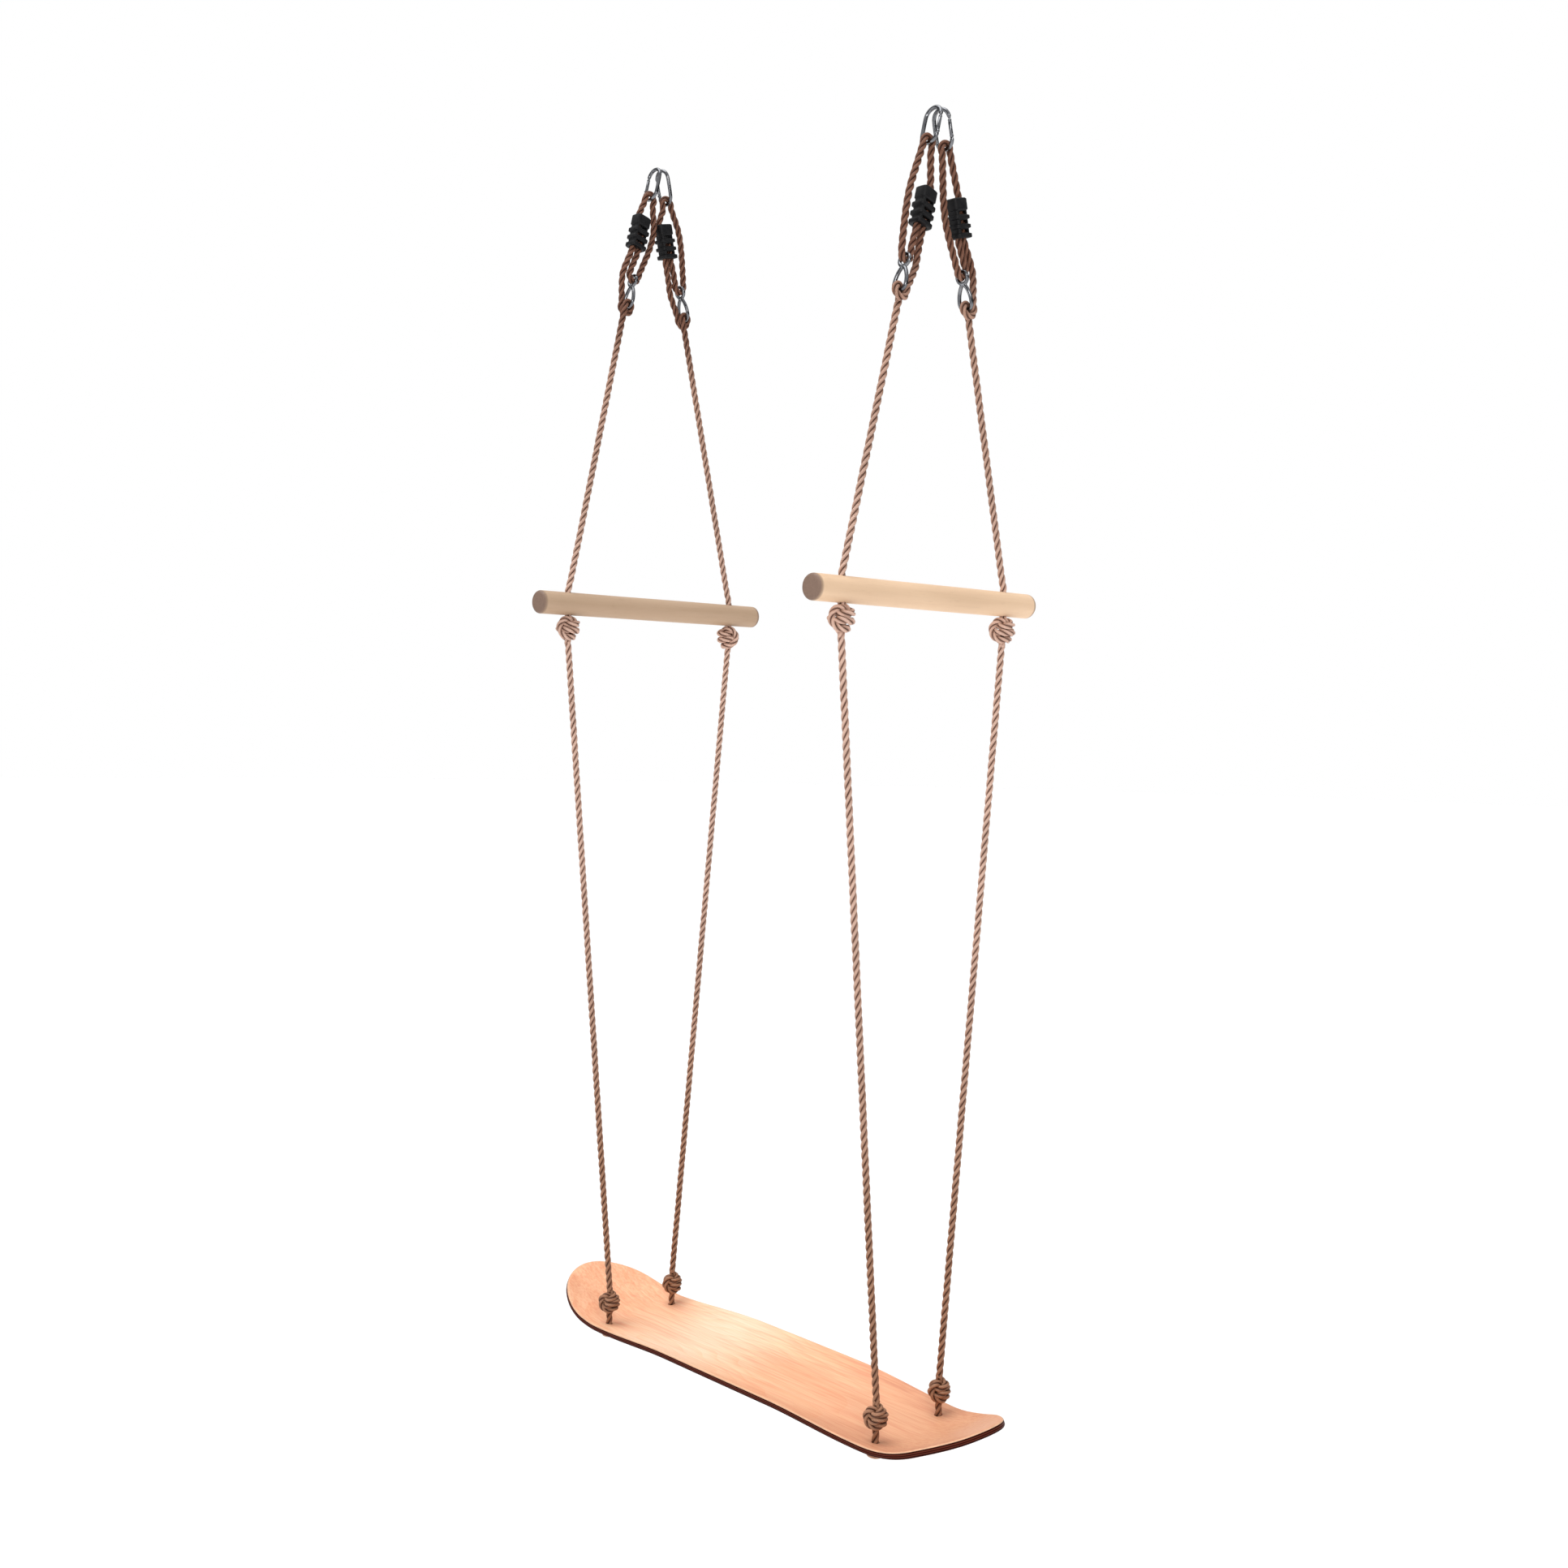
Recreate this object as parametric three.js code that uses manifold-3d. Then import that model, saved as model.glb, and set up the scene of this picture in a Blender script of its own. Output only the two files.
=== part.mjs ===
// A skateboard swing: a kicked maple deck that hangs on four twisted ropes, with two wooden bars to hold.
// Millimetres, +Z up, +X towards the nose of the deck, +Y to the left of somebody who faces the nose.
// The origin lies midway between the two hanging points, where the four carabiners rest on their hooks.
// Each corner of the deck has one rope. From its upper end it starts in the adjuster, turns in the upper
// eye of a steel figure-eight link, passes over the foot of the carabiner, comes down through the adjuster,
// takes a round turn on the lower eye of the link, passes through the bar and is knotted, is knotted again
// above the deck and ends in a button under it. Neighbouring stretches of rope are kept a small gap apart.
import * as THREE from "three";
import { mergeVertices } from "three/addons/utils/BufferGeometryUtils.js";
import Module from "manifold-3d";

const wasm = await Module();
wasm.setup();

// ---- driving dimensions ----
const gap = 0.4; // between touching pieces
const hangX = 264; // from the middle of the deck to each hanging point
const hangRise = 20; // the tail hangs from this much above the origin, and the nose from as much below
const ropeR = 4.25;
const ropeSides = 8;
const lead = 2; // the straight stretch at the end of a rope that bends

const deck = {
  length: 790,
  halfWidth: 92.5,
  endHalfWidth: 86,
  endLength: 104,
  thickness: 9.5,
  topZ: -1659,
  kickStart: 264,
  kickRadius: 160,
  kickAngle: THREE.MathUtils.degToRad(26.5),
  flatHalfWidth: 30,
  edgeRise: 15, // of the dished edges over the middle of the board
  bendEdgeRise: 8, // and from the bends outwards
  dishFrom: 100, // where that rise starts to fall
  holeY: 60,
};
// a knot stands on a short stub above the deck, and the rope's end is melted into a flat button under it
const deckKnot = { stub: 18, height: 30, radius: 15.5, buttonHeight: 7, buttonRadius: 11, buttonDrop: 1.2 };
const deckPlay = 2.6; // between the rope and the knot above the deck, where the deck turns

const bar = { z: -611, radius: 16, length: 408, holeY: 152, chamfer: 3 };
const barKnot = { height: 34, radius: 16.5 };

const ring = { wireR: 2.5, height: 52, width: 29, spacing: 10, pinR: 0.7, pinHoleR: 1.05 };
const gate = { radius: 2.2, hingeS: 33, topS: 13.6, slot: 2.5, foot: 2, chamfer: 0.6 };
const gateTongue = { thickness: 1.8, height: 9 };
const bendPlay = 1.3; // between the wire and the rope that bends over it

const link = { height: 53, lowerHeight: 33, lowerHalfWidth: 12, upperR: 10.25, waist: 4.2, wire: 5 };
const linkBevel = 1;
const adjuster = {
  length: 48,
  cap: 15,
  capRound: 1.2,
  bodyR: 9.5,
  ribR: 11,
  stretch: 1.23,
  boreOffset: 5.3,
  ribs: 3,
  window: 0.5, // share of a bay that its window takes, above its rib
  windowWidth: 15,
  socket: 23,
};

// how far below the hanging point each sling's link ends, and how its adjuster and its free strand stand
// out to the two sides; an adjuster on the inner side faces the other sling
const slings = [
  { name: "tail_right", end: -1, side: -1, drop: 214, top: 77, lean: 7, bow: 18, inner: false },
  { name: "tail_left", end: -1, side: 1, drop: 214, top: 75, lean: 14, bow: 15, inner: true },
  { name: "nose_right", end: 1, side: -1, drop: 242, top: 101, lean: 14, bow: 15, inner: true },
  { name: "nose_left", end: 1, side: 1, drop: 242, top: 105, lean: 7, bow: 18, inner: false },
];

// ---- materials ----
const maple = { color: 0xe8bf98, roughness: 0.45, metalness: 0 };
const beech = { color: 0xd9b48c, roughness: 0.6, metalness: 0 };
const twine = { color: 0xa87a62, roughness: 0.8, metalness: 0 };
const steel = { color: 0xb9bcc0, roughness: 0.25, metalness: 1 };
const plastic = { color: 0x1b1b1d, roughness: 0.5, metalness: 0 };

// ---- helpers ----
const group = new THREE.Group();

function add(name, geometry, material) {
  const mesh = new THREE.Mesh(geometry, new THREE.MeshStandardMaterial(material));
  mesh.name = name;
  group.add(mesh);
  return mesh;
}

function solid(geometry) {
  const bare = geometry.clone();
  bare.deleteAttribute("normal");
  bare.deleteAttribute("uv");
  const merged = mergeVertices(bare, 1e-4);
  return new wasm.Manifold(
    new wasm.Mesh({
      numProp: 3,
      vertProperties: new Float32Array(merged.attributes.position.array),
      triVerts: new Uint32Array(merged.index.array),
    }),
  );
}

function geometryOf(manifold) {
  const mesh = manifold.getMesh();
  const geometry = new THREE.BufferGeometry();
  geometry.setAttribute("position", new THREE.BufferAttribute(mesh.vertProperties, 3));
  geometry.setIndex(new THREE.BufferAttribute(mesh.triVerts, 1));
  geometry.computeVertexNormals();
  return geometry;
}

function cut(geometry, cutters) {
  let body = solid(geometry);
  for (const cutter of cutters) {
    body = body.subtract(solid(cutter));
  }
  return geometryOf(body);
}

function circlePoints(radius, sides) {
  const points = [];
  for (let i = 0; i < sides; i++) {
    const angle = (2 * Math.PI * i) / sides;
    points.push(new THREE.Vector2(radius * Math.cos(angle), radius * Math.sin(angle)));
  }
  return points;
}

// a smooth curve whose steps follow its own points, so that bends get more of them than straight runs do
class PointedCurve extends THREE.CatmullRomCurve3 {
  getPointAt(u, target) {
    return this.getPoint(u, target);
  }

  getTangentAt(u, target) {
    return this.getTangent(u, target);
  }

  getSpacedPoints(steps) {
    return this.getPoints(steps);
  }
}

// a round rod through the points, with so many steps between one point and the next
function rod(points, radius, sides, stepsEach) {
  const path = new PointedCurve(points, false, "centripetal");
  const steps = stepsEach * (points.length - 1);
  const section = new THREE.Shape(circlePoints(radius, sides));
  return new THREE.ExtrudeGeometry(section, { extrudePath: path, steps, bevelEnabled: false });
}

// a turned shape about Z, from [radius, z] pairs that start and end on the axis
function turned(profile, sides) {
  const points = profile.map(([r, z]) => new THREE.Vector2(r, z));
  const geometry = new THREE.LatheGeometry(points, sides);
  return geometry.rotateX(Math.PI / 2);
}

function cylinder(radius, length, sides) {
  return new THREE.CylinderGeometry(radius, radius, length, sides);
}

// a cutter for a rope hole along Z
function bore(length, sides) {
  return cylinder(ropeR + gap, length, sides).rotateX(Math.PI / 2);
}

// the profile of a knot: a barrel with rounded shoulders between two heights
function knotProfile(low, high, radius) {
  const h = high - low;
  return [
    [0.45 * radius, low],
    [0.85 * radius, low + 0.12 * h],
    [radius, low + 0.36 * h],
    [radius, low + 0.64 * h],
    [0.85 * radius, low + 0.88 * h],
    [0.45 * radius, high],
  ];
}

// ---- the frame of one sling ----
// x runs along the deck, w points away from the free strand towards the adjuster, and s runs down the sling
// from the middle of the carabiner's upper wire towards the hole in the bar
function slingFrame(sling) {
  const top = ring.wireR - sling.end * hangRise;
  const origin = new THREE.Vector3(sling.end * hangX, (sling.side * ring.spacing) / 2, top);
  const tilt = Math.atan2(bar.holeY - ring.spacing / 2, top - bar.z - bar.radius);
  return new THREE.Matrix4()
    .makeTranslation(origin)
    .multiply(new THREE.Matrix4().makeRotationZ(sling.side > 0 ? 0 : Math.PI))
    .multiply(new THREE.Matrix4().makeRotationX(tilt))
    .multiply(new THREE.Matrix4().makeRotationZ(sling.inner ? Math.PI : 0));
}

const barFootS = ring.height - 2 * ring.wireR; // s of the wire at the carabiner's foot
const bendR = ropeR + ring.wireR + bendPlay; // radius of the rope's bend over a wire
const legS = barFootS + 4; // where the bend's legs end
const turnX = ropeR + 0.9; // how far to either side of the link the round turn on it starts and ends
const turnLead = 3;

function at(frame, x, w, s) {
  return new THREE.Vector3(x, w, -s).applyMatrix4(frame);
}

// points of a half turn about (w 0, s centre), from the adjuster's side to the free strand's side
function halfTurn(frame, centreS, up) {
  const points = [];
  const steps = 8;
  for (let i = 0; i <= steps; i++) {
    const angle = (Math.PI * i) / steps;
    points.push(at(frame, 0, bendR * Math.cos(angle), centreS - up * bendR * Math.sin(angle)));
  }
  return points;
}

// ---- deck ----
// how high the board's top lies at x and how steep it is there: flat, then an arc, then a straight kick
function kick(x) {
  const run = Math.abs(x) - deck.kickStart;
  if (run <= 0) {
    return { rise: 0, slope: 0 };
  }
  const slope = Math.asin(Math.min(run / deck.kickRadius, Math.sin(deck.kickAngle)));
  const beyond = run - deck.kickRadius * Math.sin(slope);
  const rise = deck.kickRadius * (1 - Math.cos(slope)) + beyond * Math.tan(slope);
  return { rise, slope: slope * Math.sign(x) };
}

// how far the dished sides rise: most over the middle of the board, and less from the bends outwards
function dish(x, y) {
  const ease = THREE.MathUtils.smoothstep(Math.abs(x), deck.dishFrom, deck.kickStart);
  const rise = THREE.MathUtils.lerp(deck.edgeRise, deck.bendEdgeRise, ease);
  const out = Math.max(0, Math.abs(y) - deck.flatHalfWidth);
  return rise * (out / (deck.halfWidth - deck.flatHalfWidth)) ** 2;
}

// plan place of a grid point given as x in millimetres and v from -1 to 1 across the board; past the
// straight sides the grid bends into half an ellipse
function planPoint(x, v) {
  const straight = deck.length / 2 - deck.endLength;
  const along = Math.min(Math.abs(x) / straight, 1);
  const side = deck.halfWidth - (deck.halfWidth - deck.endHalfWidth) * along ** 3;
  const u = (Math.abs(x) - straight) / deck.endLength;
  if (u <= 0) {
    return [x, v * side];
  }
  const endX = straight + deck.endLength * u * Math.sqrt(1 - (v * v) / 2);
  return [Math.sign(x) * endX, v * side * Math.sqrt(1 - (u * u) / 2)];
}

function deckTop(x, y) {
  return deck.topZ + kick(x).rise + dish(x, y);
}

function deckBoard() {
  // a box from -1 to 1 across, which each of its points leaves for its place on the board
  const board = new THREE.BoxGeometry(deck.length, 2, 1, 36, 8, 1);
  const places = board.attributes.position;
  for (let i = 0; i < places.count; i++) {
    const [x, y] = planPoint(places.getX(i), places.getY(i));
    const slope = kick(x).slope;
    const under = places.getZ(i) < 0 ? deck.thickness : 0;
    places.setXYZ(i, x + under * Math.sin(slope), y, deckTop(x, y) - under * Math.cos(slope));
  }
  const holes = [];
  for (const sling of slings) {
    const x = sling.end * hangX;
    const y = sling.side * deck.holeY;
    holes.push(bore(4 * deck.thickness, 16).translate(x, y, deckTop(x, y)));
  }
  return cut(board, holes);
}

// the end of a rope at the deck: a knot above it, the stretch in the hole, and the melted button below
function deckEnd(sling) {
  const y = sling.side * deck.holeY;
  const top = deckTop(sling.end * hangX, y);
  const buttonTop = top - deck.thickness - deckKnot.buttonDrop;
  const button = knotProfile(buttonTop - deckKnot.buttonHeight, buttonTop, deckKnot.buttonRadius);
  const knot = knotProfile(top + deckKnot.stub, top + deckKnot.stub + deckKnot.height, deckKnot.radius);
  const stub = [
    [ropeR, buttonTop + 0.5],
    [ropeR, top + deckKnot.stub - 1],
  ];
  const profile = [[0, button[0][1]], ...button, ...stub, ...knot, [0, knot[5][1]]];
  return turned(profile, 10).translate(sling.end * hangX, y, 0);
}

function deckKnotTop(sling) {
  const top = deckTop(sling.end * hangX, sling.side * deck.holeY);
  return top + deckKnot.stub + deckKnot.height;
}

// ---- handle bars ----
function handleBar(end) {
  const half = bar.length / 2;
  const edge = 0.3 * bar.chamfer; // where the rounded edge lies, from both faces
  const profile = [
    [0, -half],
    [bar.radius - bar.chamfer, -half],
    [bar.radius - edge, -half + edge],
    [bar.radius, -half + bar.chamfer],
    [bar.radius, half - bar.chamfer],
    [bar.radius - edge, half - edge],
    [bar.radius - bar.chamfer, half],
    [0, half],
  ];
  const stick = turned(profile, 24).rotateX(-Math.PI / 2);
  const holes = [-1, 1].map((side) => bore(3 * bar.radius, 16).translate(0, side * bar.holeY, 0));
  return cut(stick, holes).translate(end * hangX, 0, bar.z);
}

// ---- carabiner ----
const ringTurnR = ring.width / 2 - ring.wireR; // centre line of the round ends
const ringLowCentre = barFootS - ringTurnR;

function ringArc(centreS, from, to, count) {
  const points = [];
  for (let i = 0; i <= count; i++) {
    const angle = THREE.MathUtils.degToRad(from + ((to - from) * i) / count);
    points.push(
      new THREE.Vector3(ringTurnR * Math.cos(angle), 0, ringTurnR * Math.sin(angle) - centreS),
    );
  }
  return points;
}

function hingePart(shape) {
  return shape.translate(ringTurnR, 0, -gate.hingeS);
}

// the open wire of the carabiner, with a flat tongue that the gate turns on
function carabiner() {
  const points = [
    new THREE.Vector3(ringTurnR, 0, -gate.topS + gap),
    ...ringArc(ringTurnR, 0, 180, 10),
    ...ringArc(ringLowCentre, 180, 360, 10),
    new THREE.Vector3(ringTurnR, 0, -gate.hingeS + gate.foot),
  ];
  const wire = rod(points, ring.wireR, 8, 1);
  const cheek = 4;
  const flats = [-1, 1].map((side) => {
    const flat = new THREE.BoxGeometry(3 * ring.wireR, cheek, gateTongue.height);
    return hingePart(flat.translate(0, (side * (cheek + gateTongue.thickness)) / 2, 0));
  });
  const hole = hingePart(cylinder(ring.pinHoleR, 4 * ring.wireR, 10));
  return cut(wire, [...flats, hole]);
}

function gateRod() {
  const low = -gate.foot;
  const high = gate.hingeS - gate.topS;
  const profile = [
    [0, low],
    [gate.radius, low],
    [gate.radius, high - gate.chamfer],
    [gate.radius - gate.chamfer, high],
    [0, high],
  ];
  const stick = hingePart(turned(profile, 12));
  const slotHeight = 8;
  const slotLow = -4.4;
  const slotBox = new THREE.BoxGeometry(4 * gate.radius, gate.slot, slotHeight);
  const slot = hingePart(slotBox.translate(0, 0, slotLow + slotHeight / 2));
  const hole = hingePart(cylinder(ring.pinHoleR, 4 * gate.radius, 10));
  return cut(stick, [slot, hole]);
}

function gatePin() {
  return hingePart(cylinder(ring.pinR, 2 * ring.wireR, 10));
}

// ---- rope over the carabiner's foot, and the strands below it ----
function slingBend(frame) {
  const points = [
    at(frame, 0, bendR, legS),
    ...halfTurn(frame, barFootS, 1),
    at(frame, 0, -bendR, legS),
  ];
  return rod(points, ropeR, ropeSides, 1);
}

// the middle of the link's upper wire, where the rope turns back, and of its lowest wire
function linkTopS(sling) {
  return sling.drop - link.height + link.wire / 2;
}

function linkFootS(sling) {
  return sling.drop - link.wire / 2;
}

// beside the adjuster, bowed away from it
function freeStrand(sling, frame) {
  const high = legS + gap;
  const low = linkTopS(sling) - 2 * gap;
  const points = [
    at(frame, 0, -bendR, high),
    at(frame, 0, -bendR, high + lead),
    at(frame, 0, -sling.bow, sling.top + 10),
    at(frame, 0, -sling.bow, sling.top + 34),
    at(frame, 0, -bendR - 1.5, low - 8.6),
    at(frame, 0, -bendR, low),
  ];
  return rod(points, ropeR, ropeSides, 2);
}

// the rope's first stretch: out of the adjuster, round the link's upper wire
function endStrand(sling, frame) {
  const turnS = linkTopS(sling);
  const w = sling.lean - adjuster.boreOffset;
  const foot = sling.top + adjuster.length;
  const points = [
    at(frame, 0, w, foot - adjuster.socket + 1),
    at(frame, 0, w, foot + lead),
    at(frame, 0, bendR - 1, turnS - 8),
    ...halfTurn(frame, turnS, -1),
  ];
  return rod(points, ropeR, ropeSides, 1);
}

// down from the carabiner through the adjuster to the round turn on the link
function loadStrand(sling, frame) {
  const w = sling.lean + adjuster.boreOffset;
  const foot = sling.top + adjuster.length;
  const turnS = linkTopS(sling);
  const wide = Math.max(bendR + 2 * ropeR + 2 * gap, w - 2); // clear of the end strand
  const low = linkFootS(sling) - turnLead - gap;
  const straight = 3; // to each side of the adjuster's two faces
  const points = [
    at(frame, 0, bendR, legS + gap),
    at(frame, 0, bendR, legS + gap + lead),
    at(frame, 0, w, sling.top - straight),
    at(frame, 0, w, sling.top + straight),
    at(frame, 0, w, foot - straight),
    at(frame, 0, w, foot + straight),
    at(frame, 2.2, wide, turnS - 4),
    at(frame, 3, wide, turnS + 8),
    at(frame, turnX, bendR, low - lead),
    at(frame, turnX, bendR, low),
  ];
  return rod(points, ropeR, ropeSides, 2);
}

// ---- rope from the link to the bar ----
// the round turn on the link's lower eye, then straight to the bar and down through it
function upperRope(sling, frame) {
  const foot = linkFootS(sling);
  const turn = [at(frame, turnX, bendR, foot - turnLead)];
  const shift = [1, 0.9, 0.4, -0.2, -1]; // across the link after each quarter of the turn, in turnX
  const steps = 16;
  for (let i = 0; i <= steps; i++) {
    const angle = (2 * Math.PI * i) / steps;
    const quarters = (4 * i) / steps;
    const j = Math.min(3, Math.floor(quarters));
    const x = turnX * THREE.MathUtils.lerp(shift[j], shift[j + 1], quarters - j);
    turn.push(at(frame, x, bendR * Math.cos(angle), foot + bendR * Math.sin(angle)));
  }
  const x = sling.end * hangX;
  const y = sling.side * bar.holeY;
  const points = [
    ...turn,
    at(frame, -turnX, bendR, foot + 6),
    new THREE.Vector3(x, y - sling.side * 4, bar.z + bar.radius + 18),
    new THREE.Vector3(x, y, bar.z + bar.radius + 3),
    new THREE.Vector3(x, y, bar.z - bar.radius - gap),
  ];
  return rod(points, ropeR, ropeSides, 1);
}

function barKnotShape(sling) {
  const high = bar.z - bar.radius - 2 * gap;
  const knot = knotProfile(high - barKnot.height, high, barKnot.radius);
  const profile = [[0, knot[0][1]], ...knot, [0, high]];
  return turned(profile, 10).translate(sling.end * hangX, sling.side * bar.holeY, 0);
}

function lowerRope(sling) {
  const x = sling.end * hangX;
  const top = bar.z - bar.radius - barKnot.height - 3 * gap;
  const foot = deckKnotTop(sling) + deckPlay;
  const points = [
    new THREE.Vector3(x, sling.side * bar.holeY, top),
    new THREE.Vector3(x, (sling.side * (bar.holeY + deck.holeY)) / 2, (top + foot) / 2),
    new THREE.Vector3(x, sling.side * deck.holeY, foot),
  ];
  return rod(points, ropeR, ropeSides, 4);
}

// ---- link and adjuster ----
// a figure-eight link: a round upper eye and a longer lower eye, pressed together at the waist
function figureEight() {
  const bevel = linkBevel;
  const lowCentre = link.height - link.lowerHalfWidth;
  const lowR = link.lowerHalfWidth - bevel;
  const lowTop = lowCentre - link.lowerHeight + 2 * link.lowerHalfWidth;
  const upCentre = link.upperR;
  const upR = link.upperR - bevel;
  const waistX = link.waist - bevel;
  const waistY = -2 * link.upperR;
  const upAngle = Math.acos(waistX / upR);
  const shape = new THREE.Shape();
  shape.absarc(0, -upCentre, upR, -upAngle, Math.PI + upAngle, false);
  shape.quadraticCurveTo(-waistX, waistY, -lowR, -lowTop);
  shape.lineTo(-lowR, -lowCentre);
  shape.absarc(0, -lowCentre, lowR, Math.PI, 2 * Math.PI, false);
  shape.lineTo(lowR, -lowTop);
  shape.quadraticCurveTo(waistX, waistY, waistX, -upCentre - upR * Math.sin(upAngle));
  const upHole = new THREE.Path();
  upHole.absarc(0, -upCentre, link.upperR - link.wire + bevel, 0, 2 * Math.PI, true);
  const lowHoleR = link.lowerHalfWidth - link.wire + bevel;
  const lowHole = new THREE.Path();
  lowHole.absarc(0, -lowCentre, lowHoleR, Math.PI, 2 * Math.PI, false);
  lowHole.absarc(0, -lowTop - 2, lowHoleR, 0, Math.PI, false);
  shape.holes.push(upHole, lowHole);
  const plate = new THREE.ExtrudeGeometry(shape, {
    depth: link.wire - 2 * bevel,
    bevelSize: bevel,
    bevelThickness: bevel,
    bevelSegments: 1,
    curveSegments: 5,
  });
  return plate.translate(0, 0, bevel - link.wire / 2).rotateX(Math.PI / 2);
}

// the rope adjuster: a cap, then ribs joined by two side posts, with windows between them
function adjusterBody() {
  const bay = (adjuster.length - adjuster.cap) / adjuster.ribs;
  const profile = [
    [0, 0],
    [adjuster.bodyR - adjuster.capRound, 0],
    [adjuster.bodyR, -adjuster.capRound],
    [adjuster.bodyR, -adjuster.cap],
  ];
  const ribSlope = 0.08 * bay;
  for (let i = 0; i < adjuster.ribs; i++) {
    const top = -adjuster.cap - i * bay;
    const ribTop = top - adjuster.window * bay;
    profile.push([adjuster.bodyR, ribTop]);
    profile.push([adjuster.ribR, ribTop - ribSlope]);
    profile.push([adjuster.ribR, top - bay + ribSlope]);
    profile.push([adjuster.bodyR, top - bay]);
  }
  profile.push([0, -adjuster.length]);
  const body = turned(profile.reverse(), 12).scale(1, adjuster.stretch, 1);
  const through = bore(2 * adjuster.length, 8);
  const socket = bore(2 * adjuster.socket, 8);
  const cutters = [
    through.translate(0, adjuster.boreOffset, -adjuster.length / 2),
    socket.translate(0, -adjuster.boreOffset, -adjuster.length),
  ];
  const windowHeight = adjuster.window * bay;
  for (let i = 0; i < adjuster.ribs; i++) {
    const opening = new THREE.BoxGeometry(4 * adjuster.bodyR, adjuster.windowWidth, windowHeight - gap);
    cutters.push(opening.translate(0, 0, -adjuster.cap - i * bay - windowHeight / 2));
  }
  return cut(body, cutters);
}

// ---- assembly ----
add("deck", deckBoard(), maple);
add("tail_bar", handleBar(-1), beech);
add("nose_bar", handleBar(1), beech);

for (const sling of slings) {
  const frame = slingFrame(sling);
  const linkPlace = frame.clone().multiply(
    new THREE.Matrix4().makeTranslation(0, 0, -(sling.drop - link.height)),
  );
  const adjusterPlace = frame.clone().multiply(
    new THREE.Matrix4().makeTranslation(0, sling.lean, -sling.top),
  );
  add(`${sling.name}_carabiner`, carabiner(), steel).applyMatrix4(frame);
  add(`${sling.name}_gate`, gateRod(), steel).applyMatrix4(frame);
  add(`${sling.name}_gate_pin`, gatePin(), steel).applyMatrix4(frame);
  add(`${sling.name}_sling_bend`, slingBend(frame), twine);
  add(`${sling.name}_free_strand`, freeStrand(sling, frame), twine);
  add(`${sling.name}_load_strand`, loadStrand(sling, frame), twine);
  add(`${sling.name}_end_strand`, endStrand(sling, frame), twine);
  add(`${sling.name}_adjuster`, adjusterBody(), plastic).applyMatrix4(adjusterPlace);
  add(`${sling.name}_link`, figureEight(), steel).applyMatrix4(linkPlace);
  add(`${sling.name}_upper_rope`, upperRope(sling, frame), twine);
  add(`${sling.name}_bar_knot`, barKnotShape(sling), twine);
  add(`${sling.name}_lower_rope`, lowerRope(sling), twine);
  add(`${sling.name}_deck_knots`, deckEnd(sling), twine);
}

export default group;
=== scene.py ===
# The looks of the skateboard swing: real three-strand rope, knots, pressed maple deck, beech bars, steel
# hooks and links and plastic adjusters. Lengths are in millimetres until a mesh is made, then in metres.
# It repeats the design's driving dimensions, and every rope follows the design's own route.
import math

import bmesh
import bpy
import numpy as np
from mathutils import Matrix, Vector


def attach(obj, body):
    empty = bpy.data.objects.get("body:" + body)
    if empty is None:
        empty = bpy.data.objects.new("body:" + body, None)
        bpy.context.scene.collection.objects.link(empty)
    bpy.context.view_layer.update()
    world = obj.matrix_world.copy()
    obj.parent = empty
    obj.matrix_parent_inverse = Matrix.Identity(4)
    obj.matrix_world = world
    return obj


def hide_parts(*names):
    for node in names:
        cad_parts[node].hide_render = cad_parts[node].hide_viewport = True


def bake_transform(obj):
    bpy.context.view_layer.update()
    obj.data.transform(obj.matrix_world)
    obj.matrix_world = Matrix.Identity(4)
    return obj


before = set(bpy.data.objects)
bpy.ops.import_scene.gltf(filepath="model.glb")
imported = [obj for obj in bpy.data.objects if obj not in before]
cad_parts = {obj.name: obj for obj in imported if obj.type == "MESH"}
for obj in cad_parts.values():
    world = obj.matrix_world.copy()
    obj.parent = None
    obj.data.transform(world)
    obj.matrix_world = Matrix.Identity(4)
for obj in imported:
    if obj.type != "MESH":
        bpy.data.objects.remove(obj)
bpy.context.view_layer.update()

MM = 0.001

# ---- the design's dimensions ----
HANG_X = 264.0
HANG_RISE = 20.0
ROPE_D = 8.5
ROPE_R = ROPE_D / 2
GAP = 0.4
LEAD = 2.0
RING_WIRE = 2.5
RING_HEIGHT = 52.0
RING_WIDTH = 29.0
RING_SPACING = 10.0
GATE_R = 2.2
GATE_HINGE_S = 33.0
GATE_TOP_S = 13.6
BAR_Z = -611.0
BAR_R = 16.0
BAR_LENGTH = 408.0
BAR_HOLE_Y = 152.0
BAR_KNOT_HEIGHT = 34.0
LINK_HEIGHT = 53.0
LINK_WIRE = 5.0
LINK_UPPER_R = 10.25
LINK_LOWER_HALF_WIDTH = 12.0
ADJUSTER_LENGTH = 48.0
ADJUSTER_CAP = 15.0
ADJUSTER_BORE_OFFSET = 5.3
ADJUSTER_SOCKET = 23.0
ADJUSTER_RIBS = 3
DECK_LENGTH = 790.0
DECK_HALF_WIDTH = 92.5
DECK_END_HALF_WIDTH = 86.0
DECK_END_LENGTH = 104.0
DECK_THICKNESS = 9.5
DECK_TOP_Z = -1659.0
KICK_START = 264.0
KICK_RADIUS = 160.0
KICK_ANGLE = math.radians(26.5)
DECK_FLAT_HALF_WIDTH = 30.0
DECK_EDGE_RISE = 15.0
DECK_BEND_EDGE_RISE = 8.0
DECK_DISH_FROM = 100.0
DECK_HOLE_Y = 60.0
STUB = 18.0
DECK_KNOT_HEIGHT = 30.0
BUTTON_HEIGHT = 7.0
BUTTON_R = 11.0
BUTTON_DROP = 1.2
KNOT_FRONT = {"tail": math.radians(-37), "nose": math.radians(-46)}

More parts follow.
